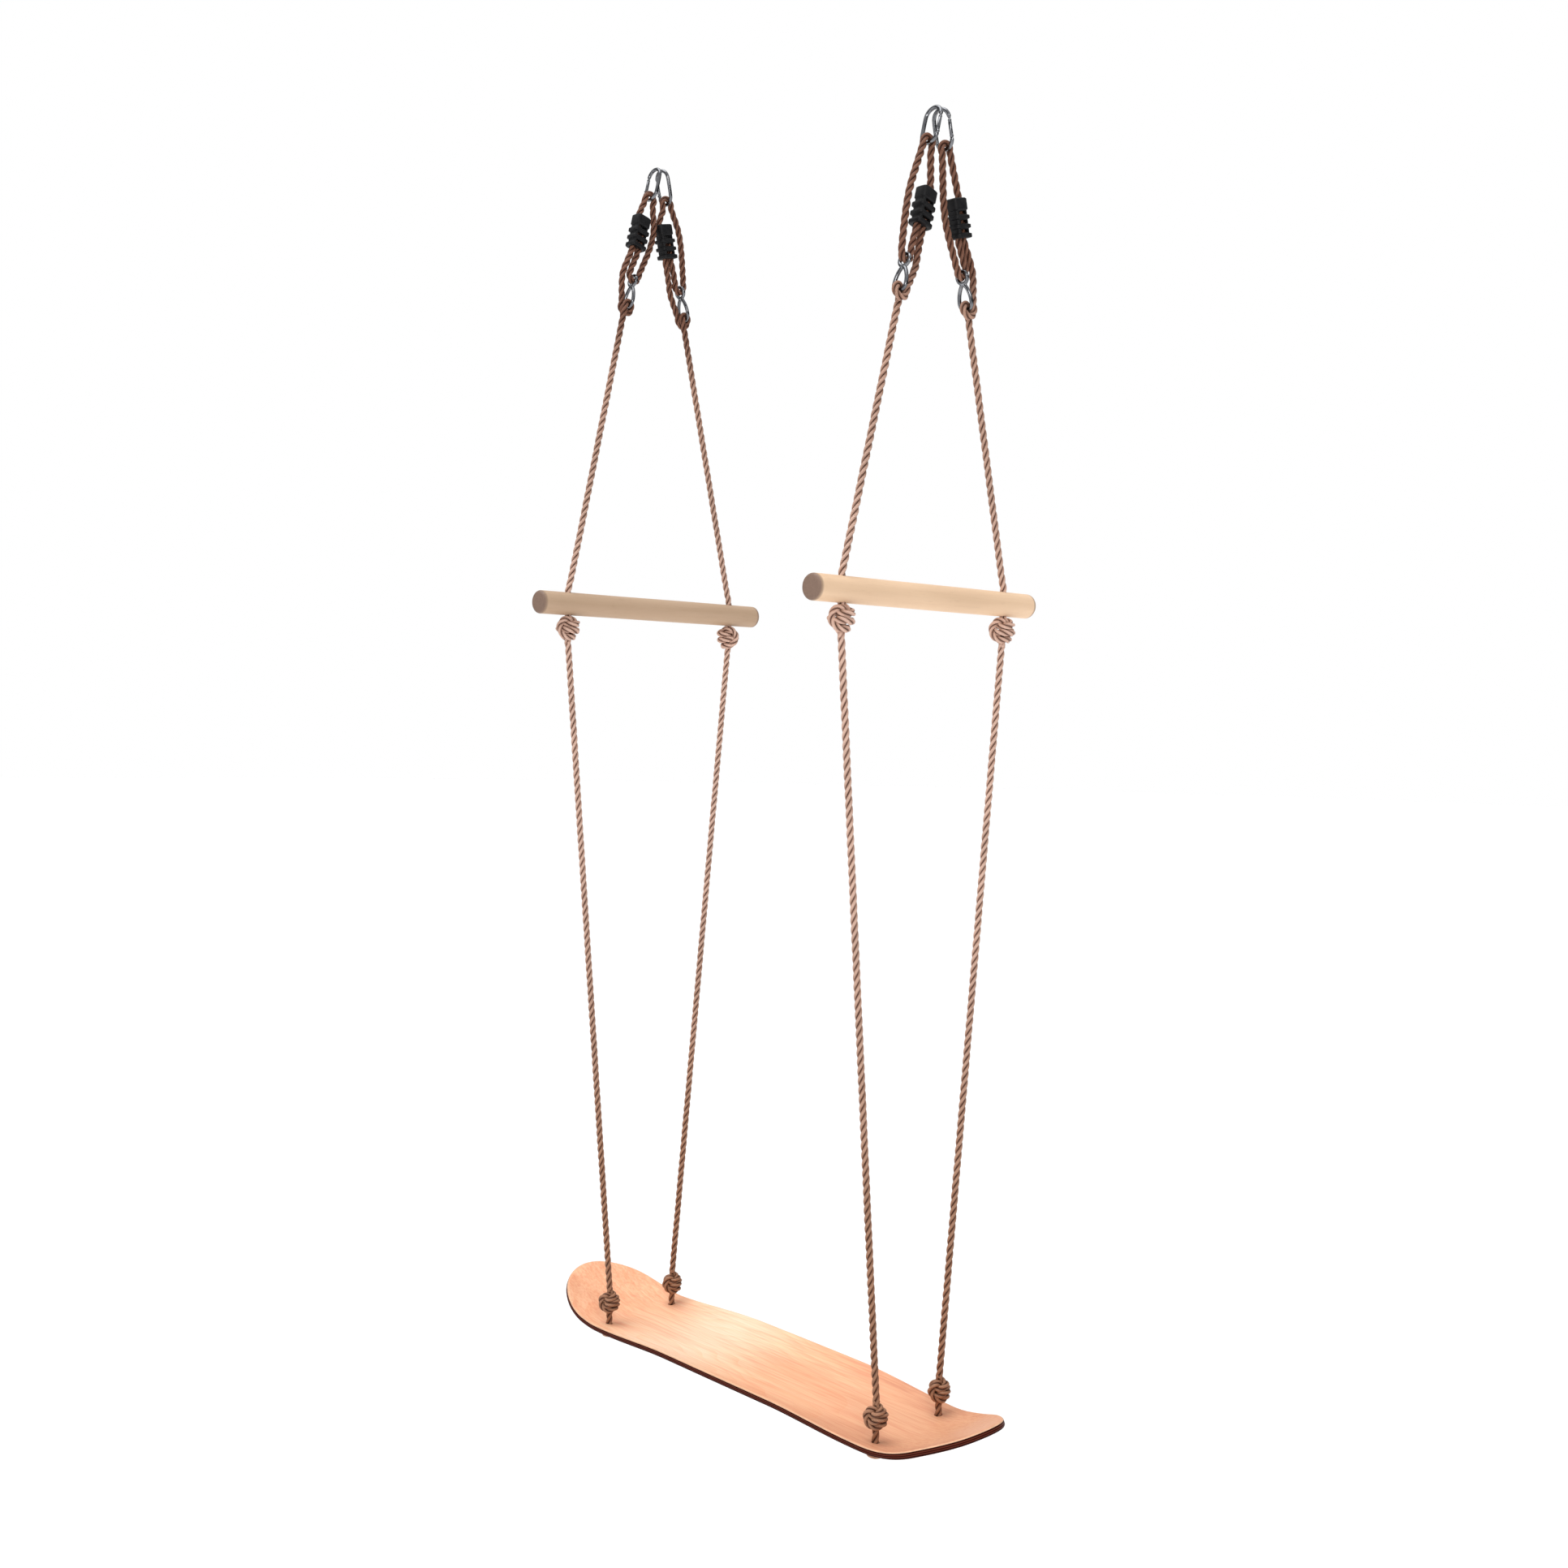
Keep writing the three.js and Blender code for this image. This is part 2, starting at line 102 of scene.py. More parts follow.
# where the carabiner's foot is and how the rope turns about it and about the link
BAR_FOOT_S = RING_HEIGHT - 2 * RING_WIRE
BEND_R = ROPE_R + RING_WIRE + 1.3
LEG_S = BAR_FOOT_S + 4
LOOP_FOOT_S = LEG_S + GAP + LEAD
TURN_X = ROPE_R + 0.9
TURN_LEAD = 3.0

# ---- sizes that only the looks have ----
BAR_ROPE_PLAY = 0.9
DECK_ROPE_PLAY = 1.1
BAR_EASE = 4.5
BAR_SIDES = 72
DECK_EDGE_ROUND = 3.0
DECK_GRID = (190, 44)
DECK_KNOT_R = 15.6
BAR_KNOT_R = 17.2
BAR_KNOT_LEAN, MIRRORED_KNOT_LEAN = 0.4, -0.45
BUTTON_SIDES = 36


class Sling:
    """One corner's rope: its end (-1 tail, 1 nose), side (-1 right, 1 left) and how its pieces stand."""

    def __init__(self, name, end, side, drop, top, lean, bow, inner):
        self.name = name
        self.end = end
        self.side = side
        self.x = end * HANG_X
        self.top = top
        self.lean = lean
        self.bow = bow
        self.foot = top + ADJUSTER_LENGTH
        self.link_s = drop - LINK_HEIGHT
        self.link_top = self.link_s + LINK_WIRE / 2
        self.link_foot = drop - LINK_WIRE / 2
        self.end_name = name[:4]
        self.ropes = f"{self.end_name}_ropes"
        self.strands = f"{self.end_name}_slings"
        high = RING_WIRE - end * HANG_RISE
        origin = Vector((self.x, side * RING_SPACING / 2, high))
        tilt = math.atan2(BAR_HOLE_Y - RING_SPACING / 2, high - BAR_Z - BAR_R)
        turn = Matrix.Rotation(0 if side > 0 else math.pi, 4, "Z")
        face = Matrix.Rotation(math.pi if inner else 0, 4, "Z")
        self.matrix = Matrix.Translation(origin) @ turn @ Matrix.Rotation(tilt, 4, "X") @ face

    def at(self, x, w, s):
        """The place x along the deck, w towards the adjuster's side and s down the sling."""
        return self.matrix @ Vector((x, w, -s))

    def metres(self, s):
        return self.at(0, 0, s) * MM


SLINGS = [
    Sling("tail_right", -1, -1, 214, 77, 7, 18, False),
    Sling("tail_left", -1, 1, 214, 75, 14, 15, True),
    Sling("nose_right", 1, -1, 242, 101, 14, 15, True),
    Sling("nose_left", 1, 1, 242, 105, 7, 18, False),
]


# ---- camera ----
def make_camera():
    place = Vector((1.600, -1.5526, -0.7530))
    azimuth = math.atan2(place.x, -place.y) - 0.006
    pitch = -0.0452
    roll = 0.0191
    data = bpy.data.cameras.new("camera")
    data.sensor_width = 36
    data.lens = 37.78
    data.clip_end = 60
    camera = bpy.data.objects.new("camera", data)
    aim = Matrix.Rotation(azimuth, 4, "Z") @ Matrix.Rotation(math.pi / 2 + pitch, 4, "X")
    camera.matrix_world = Matrix.Translation(place) @ aim @ Matrix.Rotation(roll, 4, "Z")
    bpy.context.scene.collection.objects.link(camera)
    bpy.context.scene.camera = camera


# ---- mesh helpers ----
def link_object(name, mesh):
    obj = bpy.data.objects.new(name, mesh)
    bpy.context.scene.collection.objects.link(obj)
    return obj


def mesh_object(name, places, faces, sharp_angle=None):
    """A smooth-shaded object from places in millimetres."""
    mesh = bpy.data.meshes.new(name)
    mesh.from_pydata([tuple(p) for p in np.asarray(places, float) * MM], [], faces)
    mesh.update()
    smooth(mesh, sharp_angle)
    return link_object(name, mesh)


def smooth(mesh, sharp_angle=None):
    mesh.polygons.foreach_set("use_smooth", [True] * len(mesh.polygons))
    if sharp_angle:
        mesh.set_sharp_from_angle(angle=math.radians(sharp_angle))


def modify(obj, kind, sharp_angle=None, **settings):
    """Replaces the object's mesh by what one modifier makes of it."""
    change = obj.modifiers.new(kind, kind)
    for key, value in settings.items():
        setattr(change, key, value)
    graph = bpy.context.evaluated_depsgraph_get()
    result = bpy.data.meshes.new_from_object(obj.evaluated_get(graph), depsgraph=graph)
    obj.modifiers.clear()
    obj.data = result
    smooth(result, sharp_angle)


def volume_of(mesh):
    bm = bmesh.new()
    bm.from_mesh(mesh)
    volume = bm.calc_volume(signed=True)
    bm.free()
    return volume


def face_outwards(mesh):
    if volume_of(mesh) < 0:
        mesh.flip_normals()


def boolean(obj, cutter, operation="DIFFERENCE"):
    modify(obj, "BOOLEAN", object=cutter, operation=operation, solver="EXACT")
    bpy.data.objects.remove(cutter, do_unlink=True)


def move(obj, matrix_mm):
    """Places a mesh made about the origin by a matrix whose translation is in millimetres."""
    matrix = matrix_mm.copy()
    matrix.translation = matrix.translation * MM
    obj.data.transform(matrix)
    obj.data.update()
    return obj


def bmesh_object(name, bm):
    mesh = bpy.data.meshes.new(name)
    bm.to_mesh(mesh)
    bm.free()
    return link_object(name, mesh)


def cylinder_mesh(name, radius, length, sides, centre):
    bm = bmesh.new()
    bmesh.ops.create_cone(
        bm, cap_ends=True, segments=sides, radius1=radius * MM, radius2=radius * MM, depth=length * MM
    )
    return move(bmesh_object(name, bm), Matrix.Translation(centre))


def box_mesh(name, size, centre):
    bm = bmesh.new()
    bmesh.ops.create_cube(bm, size=1)
    for vert in bm.verts:
        vert.co = Vector([(c + s * k) * MM for c, s, k in zip(centre, size, vert.co)])
    return bmesh_object(name, bm)


def finish(obj, material, body=None, nodes=()):
    """Gives an object its only material and its slot and, where they are given, its body, and hides the CAD
    nodes it stands for.
    """
    obj.data.materials.clear()
    obj.data.materials.append(material)
    if body:
        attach(obj, body)
    if nodes:
        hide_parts(*nodes)


# ---- lines, and what is swept along them ----
def catmull_rom(a, b, c, d, count=24):
    """Places from b up to c on the centripetal Catmull-Rom curve through four points."""
    t0 = 0.0
    t1 = t0 + math.sqrt(np.linalg.norm(b - a))
    t2 = t1 + math.sqrt(np.linalg.norm(c - b))
    t3 = t2 + math.sqrt(np.linalg.norm(d - c))
    t = np.linspace(t1, t2, count, endpoint=False)[:, None]

    def between(p, q, start, stop):
        return (stop - t) / (stop - start) * p + (t - start) / (stop - start) * q

    bc = between(b, c, t1, t2)
    abc = between(between(a, b, t0, t1), bc, t0, t2)
    bcd = between(bc, between(c, d, t2, t3), t1, t3)
    return between(abc, bcd, t1, t2)


def distances(line):
    """How far along the line each of its places is."""
    return np.concatenate([[0], np.cumsum(np.linalg.norm(np.diff(line, axis=0), axis=1))])


def smooth_line(points, step, closed=False):
    """Places a step apart on a smooth curve through the points, leaving out points that nearly coincide."""
    kept = [np.array(points[0], float)]
    for point in points[1:]:
        point = np.array(point, float)
        if np.linalg.norm(point - kept[-1]) > 0.6:
            kept.append(point)
    p = np.array(kept)
    if closed:
        p = np.vstack([p[-1], p, p[0], p[1]])
    else:
        p = np.vstack([2 * p[0] - p[1], p, 2 * p[-1] - p[-2]])
    spans = [catmull_rom(*four) for four in zip(p[:-3], p[1:-2], p[2:-1], p[3:])]
    line = np.vstack([*spans, p[-2][None]])
    run = distances(line)
    count = max(2, int(round(run[-1] / step)) + 1)
    places = np.linspace(0, run[-1], count)
    return np.stack([np.interp(places, run, line[:, k]) for k in range(3)], axis=1)


def directions(line):
    d = np.gradient(line, axis=0)
    return d / np.linalg.norm(d, axis=1)[:, None]


def carried_frames(line):
    """Unit normals along the line that don't turn about it."""
    along = directions(line)
    start = np.cross(along[0], [1.0, 0.0, 0.0] if abs(along[0][0]) < 0.8 else [0.0, 0.0, 1.0])
    normals = [start / np.linalg.norm(start)]
    for d in along[1:]:
        n = normals[-1] - d * np.dot(normals[-1], d)
        normals.append(n / np.linalg.norm(n))
    normals = np.array(normals)
    return along, normals, np.cross(along, normals)


def ring_faces(first, count, sides, closed=False):
    faces = []
    last = count if closed else count - 1
    for i in range(last):
        a = first + i * sides
        b = first + ((i + 1) % count) * sides
        for k in range(sides):
            j = (k + 1) % sides
            faces.append((a + k, a + j, b + j, b + k))
    if not closed:
        faces.append(tuple(first + k for k in reversed(range(sides))))
        faces.append(tuple(first + (count - 1) * sides + k for k in range(sides)))
    return faces


def angles(count):
    return [2 * math.pi * k / count for k in range(count)]


def rings_about(centres, first, second, first_radii, second_radii, sides):
    """A ring of places about each centre, spanned by two unit vectors and the radii along them."""
    angle = np.linspace(0, 2 * math.pi, sides, endpoint=False)[None, :, None]
    return (
        centres[:, None]
        + first_radii[:, None, None] * np.cos(angle) * first[:, None]
        + second_radii[:, None, None] * np.sin(angle) * second[:, None]
    )


def sweep(name, line, radii, sides=20, closed=False, flat=None):
    """A round bar along the line. flat = (normal scale, binormal scale) for each place."""
    along, n, b = carried_frames(line)
    count = len(line)
    radii = np.broadcast_to(radii, (count,))
    scale = np.ones((count, 2)) if flat is None else np.asarray(flat)
    rings = rings_about(line, n, b, radii * scale[:, 0], radii * scale[:, 1], sides)
    return mesh_object(name, rings.reshape(-1, 3), ring_faces(0, count, sides, closed), 50)


# ---- rope ----
STRAND_R = 0.262 * ROPE_D
STRAND_OFFSET = 0.287 * ROPE_D
LAY = 4.1 * ROPE_D
ROPE_STEP = 1.7
STRAND_SIDES = 12
YARNS_PER_TURN = 7


def strand_mesh(name, line, start=0.0, first=0, last=None):
    """Three strands laid right-handed round the line; first and last cut a piece out of it."""
    along, n, b = carried_frames(line)
    run = distances(line) + start
    places = []
    faces = []
    runs = []
    for k in range(3):
        turn = 2 * math.pi * (run / LAY + k / 3)
        out = np.cos(turn)[:, None] * n + np.sin(turn)[:, None] * b
        centres = line + STRAND_OFFSET * out
        strand_along = directions(centres)
        side = np.cross(strand_along, out)
        side /= np.linalg.norm(side, axis=1)[:, None]
        up = np.cross(side, strand_along)
        radii = STRAND_R * (1 + 0.03 * np.sin(run / 9.0 + 2.1 * k))
        rings = rings_about(centres, up, side, radii, radii, STRAND_SIDES)[first:last]
        faces += ring_faces(len(places) * STRAND_SIDES, len(rings), STRAND_SIDES)
        places += list(rings)
        runs.append(run[first:last])
    obj = mesh_object(name, np.array(places).reshape(-1, 3), faces, 60)
    strand_uvs(obj.data, np.concatenate(runs))
    return obj


def strand_uvs(mesh, run):
    """u runs round a strand from its outermost line, v along it in rope diameters."""
    layer = mesh.uv_layers.new(name="strand")
    count = len(mesh.loops)
    verts = np.zeros(count, np.int64)
    mesh.loops.foreach_get("vertex_index", verts)
    u = (verts % STRAND_SIDES) / STRAND_SIDES
    v = run[verts // STRAND_SIDES] / ROPE_D
    sizes = np.array([len(p.vertices) for p in mesh.polygons])
    starts = np.concatenate([[0], np.cumsum(sizes)[:-1]])
    quads = starts[sizes == 4]
    corners = quads[:, None] + np.arange(4)[None, :]
    block = u[corners]
    wraps = (block.max(axis=1) - block.min(axis=1)) > 0.5
    block[wraps] = np.where(block[wraps] < 0.5, block[wraps] + 1, block[wraps])
    u[corners] = block
    layer.data.foreach_set("uv", np.stack([u, v], axis=1).astype(np.float32).ravel())


def half_turn(sling, centre_s, up):
    steps = 8
    points = []
    for i in range(steps + 1):
        angle = math.pi * i / steps
        points.append(sling.at(0, BEND_R * math.cos(angle), centre_s - up * BEND_R * math.sin(angle)))
    return points


def end_route(sling):
    """Out of the adjuster and round the link's upper wire."""
    w = sling.lean - ADJUSTER_BORE_OFFSET
    return [
        sling.at(0, w, sling.foot - ADJUSTER_SOCKET + 1),
        sling.at(0, w, sling.foot + LEAD),
        sling.at(0, BEND_R - 1, sling.link_top - 8),
        *half_turn(sling, sling.link_top, -1),
    ]


def free_route(sling):
    """From the link's upper eye up beside the adjuster to the carabiner."""
    low = sling.link_top - 2 * GAP
    high = LEG_S + GAP
    return [
        sling.at(0, -BEND_R, low),
        sling.at(0, -BEND_R - 1.5, low - 8.6),
        sling.at(0, -sling.bow, sling.top + 34),
        sling.at(0, -sling.bow, sling.top + 10),
        sling.at(0, -BEND_R, high + LEAD),
    ]


def load_route(sling):
    """Down from the carabiner through the adjuster to the link."""
    w = sling.lean + ADJUSTER_BORE_OFFSET
    wide = max(BEND_R + 2 * ROPE_R + 2 * GAP, w - 2)
    low = sling.link_foot - TURN_LEAD - GAP
    straight = 3
    return [
        sling.at(0, BEND_R, LEG_S + GAP + LEAD),
        sling.at(0, w, sling.top - straight),
        sling.at(0, w, sling.top + straight),
        sling.at(0, w, sling.foot - straight),
        sling.at(0, w, sling.foot + straight),
        sling.at(2.2, wide, sling.link_top - 4),
        sling.at(3, wide, sling.link_top + 8),
        sling.at(TURN_X, BEND_R, low - LEAD),
    ]


def upper_route(sling):
    """The round turn on the link's lower eye, then straight to the bar and through it."""
    foot = sling.link_foot
    points = [sling.at(TURN_X, BEND_R, foot - TURN_LEAD)]
    shift = (1, 0.9, 0.4, -0.2, -1)
    steps = 16
    for i in range(steps + 1):
        angle = 2 * math.pi * i / steps
        x = TURN_X * float(np.interp(4 * i / steps, range(5), shift))
        points.append(sling.at(x, BEND_R * math.cos(angle), foot + BEND_R * math.sin(angle)))
    x = sling.x
    y = sling.side * BAR_HOLE_Y
    return points + [
        sling.at(-TURN_X, BEND_R, foot + 6),
        Vector((x, y - sling.side * 4, BAR_Z + BAR_R + 18)),
        Vector((x, y, BAR_Z + BAR_R + 3)),
        Vector((x, y, BAR_Z - BAR_R - GAP)),
    ]


def nearest(line, place):
    return int(np.argmin(np.linalg.norm(line - np.array(place)[None], axis=1)))


def cut_places(line, free, load, upper):
    """Where the line of a corner's rope is cut between its pieces."""
    half = len(line) // 2
    cuts = [0, *(nearest(line[:half], free[k]) for k in (0, 3, 4))]
    bend = cuts[-1]
    cuts += [bend + nearest(line[bend:], place) for place in (load[0], load[2], upper[0])]
    return cuts + [len(line) - 1]


def sling_rope(sling, material):
    """The corner's whole rope down to its bar is one line, which is cut where it passes between bodies."""
    free, load, upper = free_route(sling), load_route(sling), upper_route(sling)
    bend = half_turn(sling, BAR_FOOT_S, 1)[::-1]
    line = smooth_line([*end_route(sling), *free, *bend, *load, *upper], ROPE_STEP)
    at_ring = (41, LOOP_FOOT_S)
    below_ring = (LOOP_FOOT_S, sling.top - 2)
    to_link = (sling.top + 12, sling.link_top - 4)
    pieces = [
        ("end_strand", "end_strand", None, (sling.ropes,)),
        ("free_strand", "free_strand", to_link, (sling.strands, sling.ropes)),
        ("free_top", None, below_ring, ("sling_tops", sling.strands)),
        ("bend", "sling_bend", at_ring, ("hangers", "sling_tops")),
        ("load_top", None, below_ring, ("sling_tops", sling.strands)),
        ("load_strand", "load_strand", to_link, (sling.strands, sling.ropes)),
        ("upper_rope", "upper_rope", None, (sling.ropes,)),
    ]
    cuts = cut_places(line, free, load, upper)
    for (name, node, stretch, bodies), a, b in zip(pieces, cuts, cuts[1:]):
        piece = strand_mesh(f"{sling.name}_{name}_twisted", line, 0, a, b + 1)
        nodes = [f"{sling.name}_{node}"] if node else []
        finish(piece, material, None if stretch else bodies[0], nodes)
        if stretch:
            sling.metres(stretch[0])
            sling.metres(stretch[1])
            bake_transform(piece)


# ---- deck shape ----
def kick(x):
    run = abs(x) - KICK_START
    if run <= 0:
        return 0.0, 0.0
    slope = math.asin(min(run / KICK_RADIUS, math.sin(KICK_ANGLE)))
    beyond = run - KICK_RADIUS * math.sin(slope)
    rise = KICK_RADIUS * (1 - math.cos(slope)) + beyond * math.tan(slope)
    return rise, math.copysign(slope, x)


def dish(x, y):
    along = min(1.0, max(0.0, (abs(x) - DECK_DISH_FROM) / (KICK_START - DECK_DISH_FROM)))
    ease = along * along * (3 - 2 * along)
    rise = DECK_EDGE_RISE + (DECK_BEND_EDGE_RISE - DECK_EDGE_RISE) * ease
    out = max(0.0, abs(y) - DECK_FLAT_HALF_WIDTH)
    return rise * (out / (DECK_HALF_WIDTH - DECK_FLAT_HALF_WIDTH)) ** 2


def deck_top(x, y):
    return DECK_TOP_Z + kick(x)[0] + dish(x, y)


def plan_point(x, v, inset):
    """The place on the board of x along it and v from -1 to 1 across, inset from its outline."""
    half = DECK_LENGTH / 2 - inset
    straight = DECK_LENGTH / 2 - DECK_END_LENGTH
    end_length = half - straight
    along = min(abs(x) / straight, 1)
    side = DECK_HALF_WIDTH - (DECK_HALF_WIDTH - DECK_END_HALF_WIDTH) * along ** 3 - inset
    u = (abs(x) - straight) / end_length
    if u <= 0:
        return x, v * side
    end_x = straight + end_length * u * math.sqrt(max(0, 1 - v * v / 2))
    return math.copysign(end_x, x), v * side * math.sqrt(max(0, 1 - u * u / 2))


def lower(x, y, depth):
    """The place a depth under the board's top, square to it."""
    slope = kick(x)[1]
    return x + depth * math.sin(slope), y, deck_top(x, y) - depth * math.cos(slope)


def deck_grid():
    """Places (x, y) of a grid inside the rounded edge, and the numbers of its rim's places in order."""
    nx, ny = DECK_GRID
    half = DECK_LENGTH / 2 - DECK_EDGE_ROUND
    flat = []
    for i in range(nx + 1):
        for j in range(ny + 1):
            flat.append(plan_point(half * (2 * i / nx - 1), 2 * j / ny - 1, DECK_EDGE_ROUND))
    row = ny + 1
    rim = [i * row for i in range(nx)] + [nx * row + j for j in range(ny)]
    rim += [i * row + ny for i in range(nx, 0, -1)] + list(range(ny, 0, -1))
    return flat, rim


def edge_profile():
    """How far each ring of the edge lies out from the rim and under the top."""
    steps = 5
    quarter = []
    for i in range(1, steps + 1):
        angle = math.pi / 2 * i / steps
        quarter.append((DECK_EDGE_ROUND * math.sin(angle), DECK_EDGE_ROUND * (1 - math.cos(angle))))
    middle = [(DECK_EDGE_ROUND, DECK_THICKNESS * k) for k in (0.44, 0.56)]
    return quarter + middle + [(out, DECK_THICKNESS - down) for out, down in reversed(quarter)]


def outward(loop):
    """Unit vectors that point out of a closed loop of places (x, y)."""
    tangent = np.roll(loop, -1, axis=0) - np.roll(loop, 1, axis=0)
    tangent /= np.linalg.norm(tangent, axis=1)[:, None]
    return np.stack([tangent[:, 1], -tangent[:, 0]], axis=1)


def grid_faces(base, under):
    nx, ny = DECK_GRID
    row = ny + 1
    faces = []
    for i in range(nx):
        for j in range(ny):
            a = base + i * row + j
            face = (a, a + row, a + row + 1, a + 1)
            faces.append((a, *reversed(face[1:])) if under else face)
    return faces


def band_faces(upper, under):
    """The faces between two rings of place numbers."""
    after = upper[1:] + upper[:1], under[1:] + under[:1]
    return [(a, b, d, c) for a, b, c, d in zip(upper, under, *after)]


def deck_surface():
    """Places and faces of the board's whole surface, and each place's depth from the top (0) down (1)."""
    flat, rim = deck_grid()
    loop = np.array([flat[k] for k in rim])
    places = [lower(x, y, 0) for x, y in flat]
    depths = [0.0] * len(flat)
    faces = grid_faces(0, False)
    ring = rim
    for reach, depth in edge_profile():
        new = list(range(len(places), len(places) + len(rim)))
        for (x, y), (dx, dy) in zip(loop, outward(loop)):
            places.append(lower(x + dx * reach, y + dy * reach, depth))
            depths.append(depth / DECK_THICKNESS)
        faces += band_faces(ring, new)
        ring = new
    base = len(places)
    places += [lower(x, y, DECK_THICKNESS) for x, y in flat]
    depths += [1.0] * len(flat)
    faces += grid_faces(base, True)
    faces += band_faces(ring, [base + k for k in rim])
    return places, faces, depths


def pressed_deck(material):
    """The dished and kicked board, with a value for the depth through its plies and four holes."""
    places, faces, depths = deck_surface()
    deck = mesh_object("deck_pressed", places, faces)
    layer = deck.data.attributes.new("ply_depth", "FLOAT", "POINT")
    layer.data.foreach_set("value", np.array(depths, np.float32))
    for sling in SLINGS:
        x, y = sling.x, sling.side * DECK_HOLE_Y
        boolean(deck, cylinder_mesh("hole", ROPE_R + DECK_ROPE_PLAY, 60, 40, (x, y, deck_top(x, y))))
    smooth(deck.data, 40)
    finish(deck, material, "deck_board", ["deck"])


# ---- knots ----
# An overhand knot seen from its front, as places (right, forward, up) in a box of half size 1.
# It runs up the core, down the left side, and twice round the back with a slanting pass across the front.
OVERHAND = [
    (-0.10, -0.15, -0.85), (0.05, -0.15, -0.20), (0.10, 0.00, 0.45), (-0.20, 0.30, 0.86),
    (-0.80, 0.45, 0.66), (-1.00, 0.42, -0.05), (-0.74, 0.55, -0.66), (-0.05, 0.70, -0.98),
    (0.74, 0.42, -0.74), (0.84, -0.52, -0.52), (0.05, -0.98, -0.40), (-0.80, -0.50, -0.40),
    (-0.62, 0.30, -0.42), (0.05, 0.92, -0.22), (0.84, 0.54, 0.06), (0.88, -0.46, 0.24),
    (0.05, -0.98, 0.40), (-0.66, -0.40, 0.36), (-0.42, 0.42, 0.30), (0.20, 0.84, 0.50),
    (0.66, 0.46, 0.82), (0.40, -0.06, 1.00),
]


def knot_points(radius, height, front, lean, mirrored):
    """An overhand knot about the origin, with its front turned to an angle about the rope's axis."""
    reach = radius - ROPE_R
    half = height / 2 - ROPE_R
    flip = -1 if mirrored else 1
    lean_over = Matrix.Rotation(lean, 3, "Y")
    turn = Matrix.Rotation(front + math.pi / 2, 3, "Z")
    points = []
    for right, forward, up in OVERHAND:
        place = lean_over @ Vector((flip * right * reach, -forward * reach, up * half))
        points.append(turn @ place)
    low = [Vector((0, 0, -height / 2 - 5)), Vector((0, 0, -height / 2 + 1))]
    high = [Vector((0, 0, height / 2 - 0.5)), Vector((0, 0, height / 2 + 5))]
    return low + points + high


def bar_knot(sling, index, material):
    top = BAR_Z - BAR_R
    centre = Vector((sling.x, sling.side * BAR_HOLE_Y, top - BAR_KNOT_HEIGHT / 2 - 1))
    mirrored = sling.name == "tail_left"
    lean = MIRRORED_KNOT_LEAN if mirrored else BAR_KNOT_LEAN
    front = KNOT_FRONT[sling.end_name] - 0.2 * sling.side
    points = knot_points(BAR_KNOT_R, BAR_KNOT_HEIGHT, front, lean, mirrored)
    line = smooth_line([centre + p for p in points], ROPE_STEP)
    knot = strand_mesh(f"{sling.name}_bar_knot_tied", line, 3.0 * index)
    finish(knot, material, sling.ropes, [f"{sling.name}_bar_knot"])


def deck_knot_top(sling):
    return deck_top(sling.x, sling.side * DECK_HOLE_Y) + STUB + DECK_KNOT_HEIGHT


def lower_rope(sling, material):
    x = sling.x
    top = BAR_Z - BAR_R - BAR_KNOT_HEIGHT - 3 * GAP + 4
    foot = deck_knot_top(sling) + 0.6
    middle = Vector((x, sling.side * (BAR_HOLE_Y + DECK_HOLE_Y) / 2, (top + foot) / 2))
    ends = [Vector((x, sling.side * BAR_HOLE_Y, top)), Vector((x, sling.side * DECK_HOLE_Y, foot))]
    line = smooth_line([ends[0], middle, ends[1]], ROPE_STEP)
    rope = strand_mesh(f"{sling.name}_lower_rope_twisted", line, 11.0 * sling.end + 5.0 * sling.side)
    finish(rope, material, sling.ropes, [f"{sling.name}_lower_rope"])


def deck_knots(sling, index, material):
    """One rope end: up from its button through the hole in the board, stub and knot above."""
    x, y = sling.x, sling.side * DECK_HOLE_Y
    top = deck_top(x, y)
    button_top = top - DECK_THICKNESS - BUTTON_DROP
    centre = Vector((x, y, top + STUB + DECK_KNOT_HEIGHT / 2))
    front = KNOT_FRONT[sling.end_name] + 0.25 * sling.side
    knot = knot_points(DECK_KNOT_R, DECK_KNOT_HEIGHT, front, 0.0, False)
    points = [Vector((x, y, button_top - 2)), Vector((x, y, top))] + [centre + p for p in knot]
    line = smooth_line(points, ROPE_STEP)
    rope = strand_mesh(f"{sling.name}_deck_knots_tied", line, 4.0 * index)
    finish(rope, material, "deck_board", [f"{sling.name}_deck_knots"])
    button(sling, Vector((x, y, button_top)), index, material)


def button(sling, top, index, material):
    """The rope's end, melted and pressed to a flat, slightly uneven button."""
    rim = BUTTON_HEIGHT / 2
    stations = [
        (0, BUTTON_R - rim), (0.8, BUTTON_R - 1.2), (rim, BUTTON_R), (BUTTON_HEIGHT - 1, BUTTON_R - 1.4),
        (BUTTON_HEIGHT, BUTTON_R - rim),
    ]
    places = []
    for depth, radius in stations:
        for angle in angles(BUTTON_SIDES):
            uneven = radius * (1 + 0.03 * math.sin(3 * angle + index) + 0.02 * math.sin(5 * angle))
            outwards = Vector((uneven * math.cos(angle), uneven * math.sin(angle), -depth))
            places.append(top + outwards)
    cap = mesh_object(f"{sling.name}_rope_button", places, ring_faces(0, len(stations), BUTTON_SIDES), 50)
    face_outwards(cap.data)
    finish(cap, material, "deck_board")


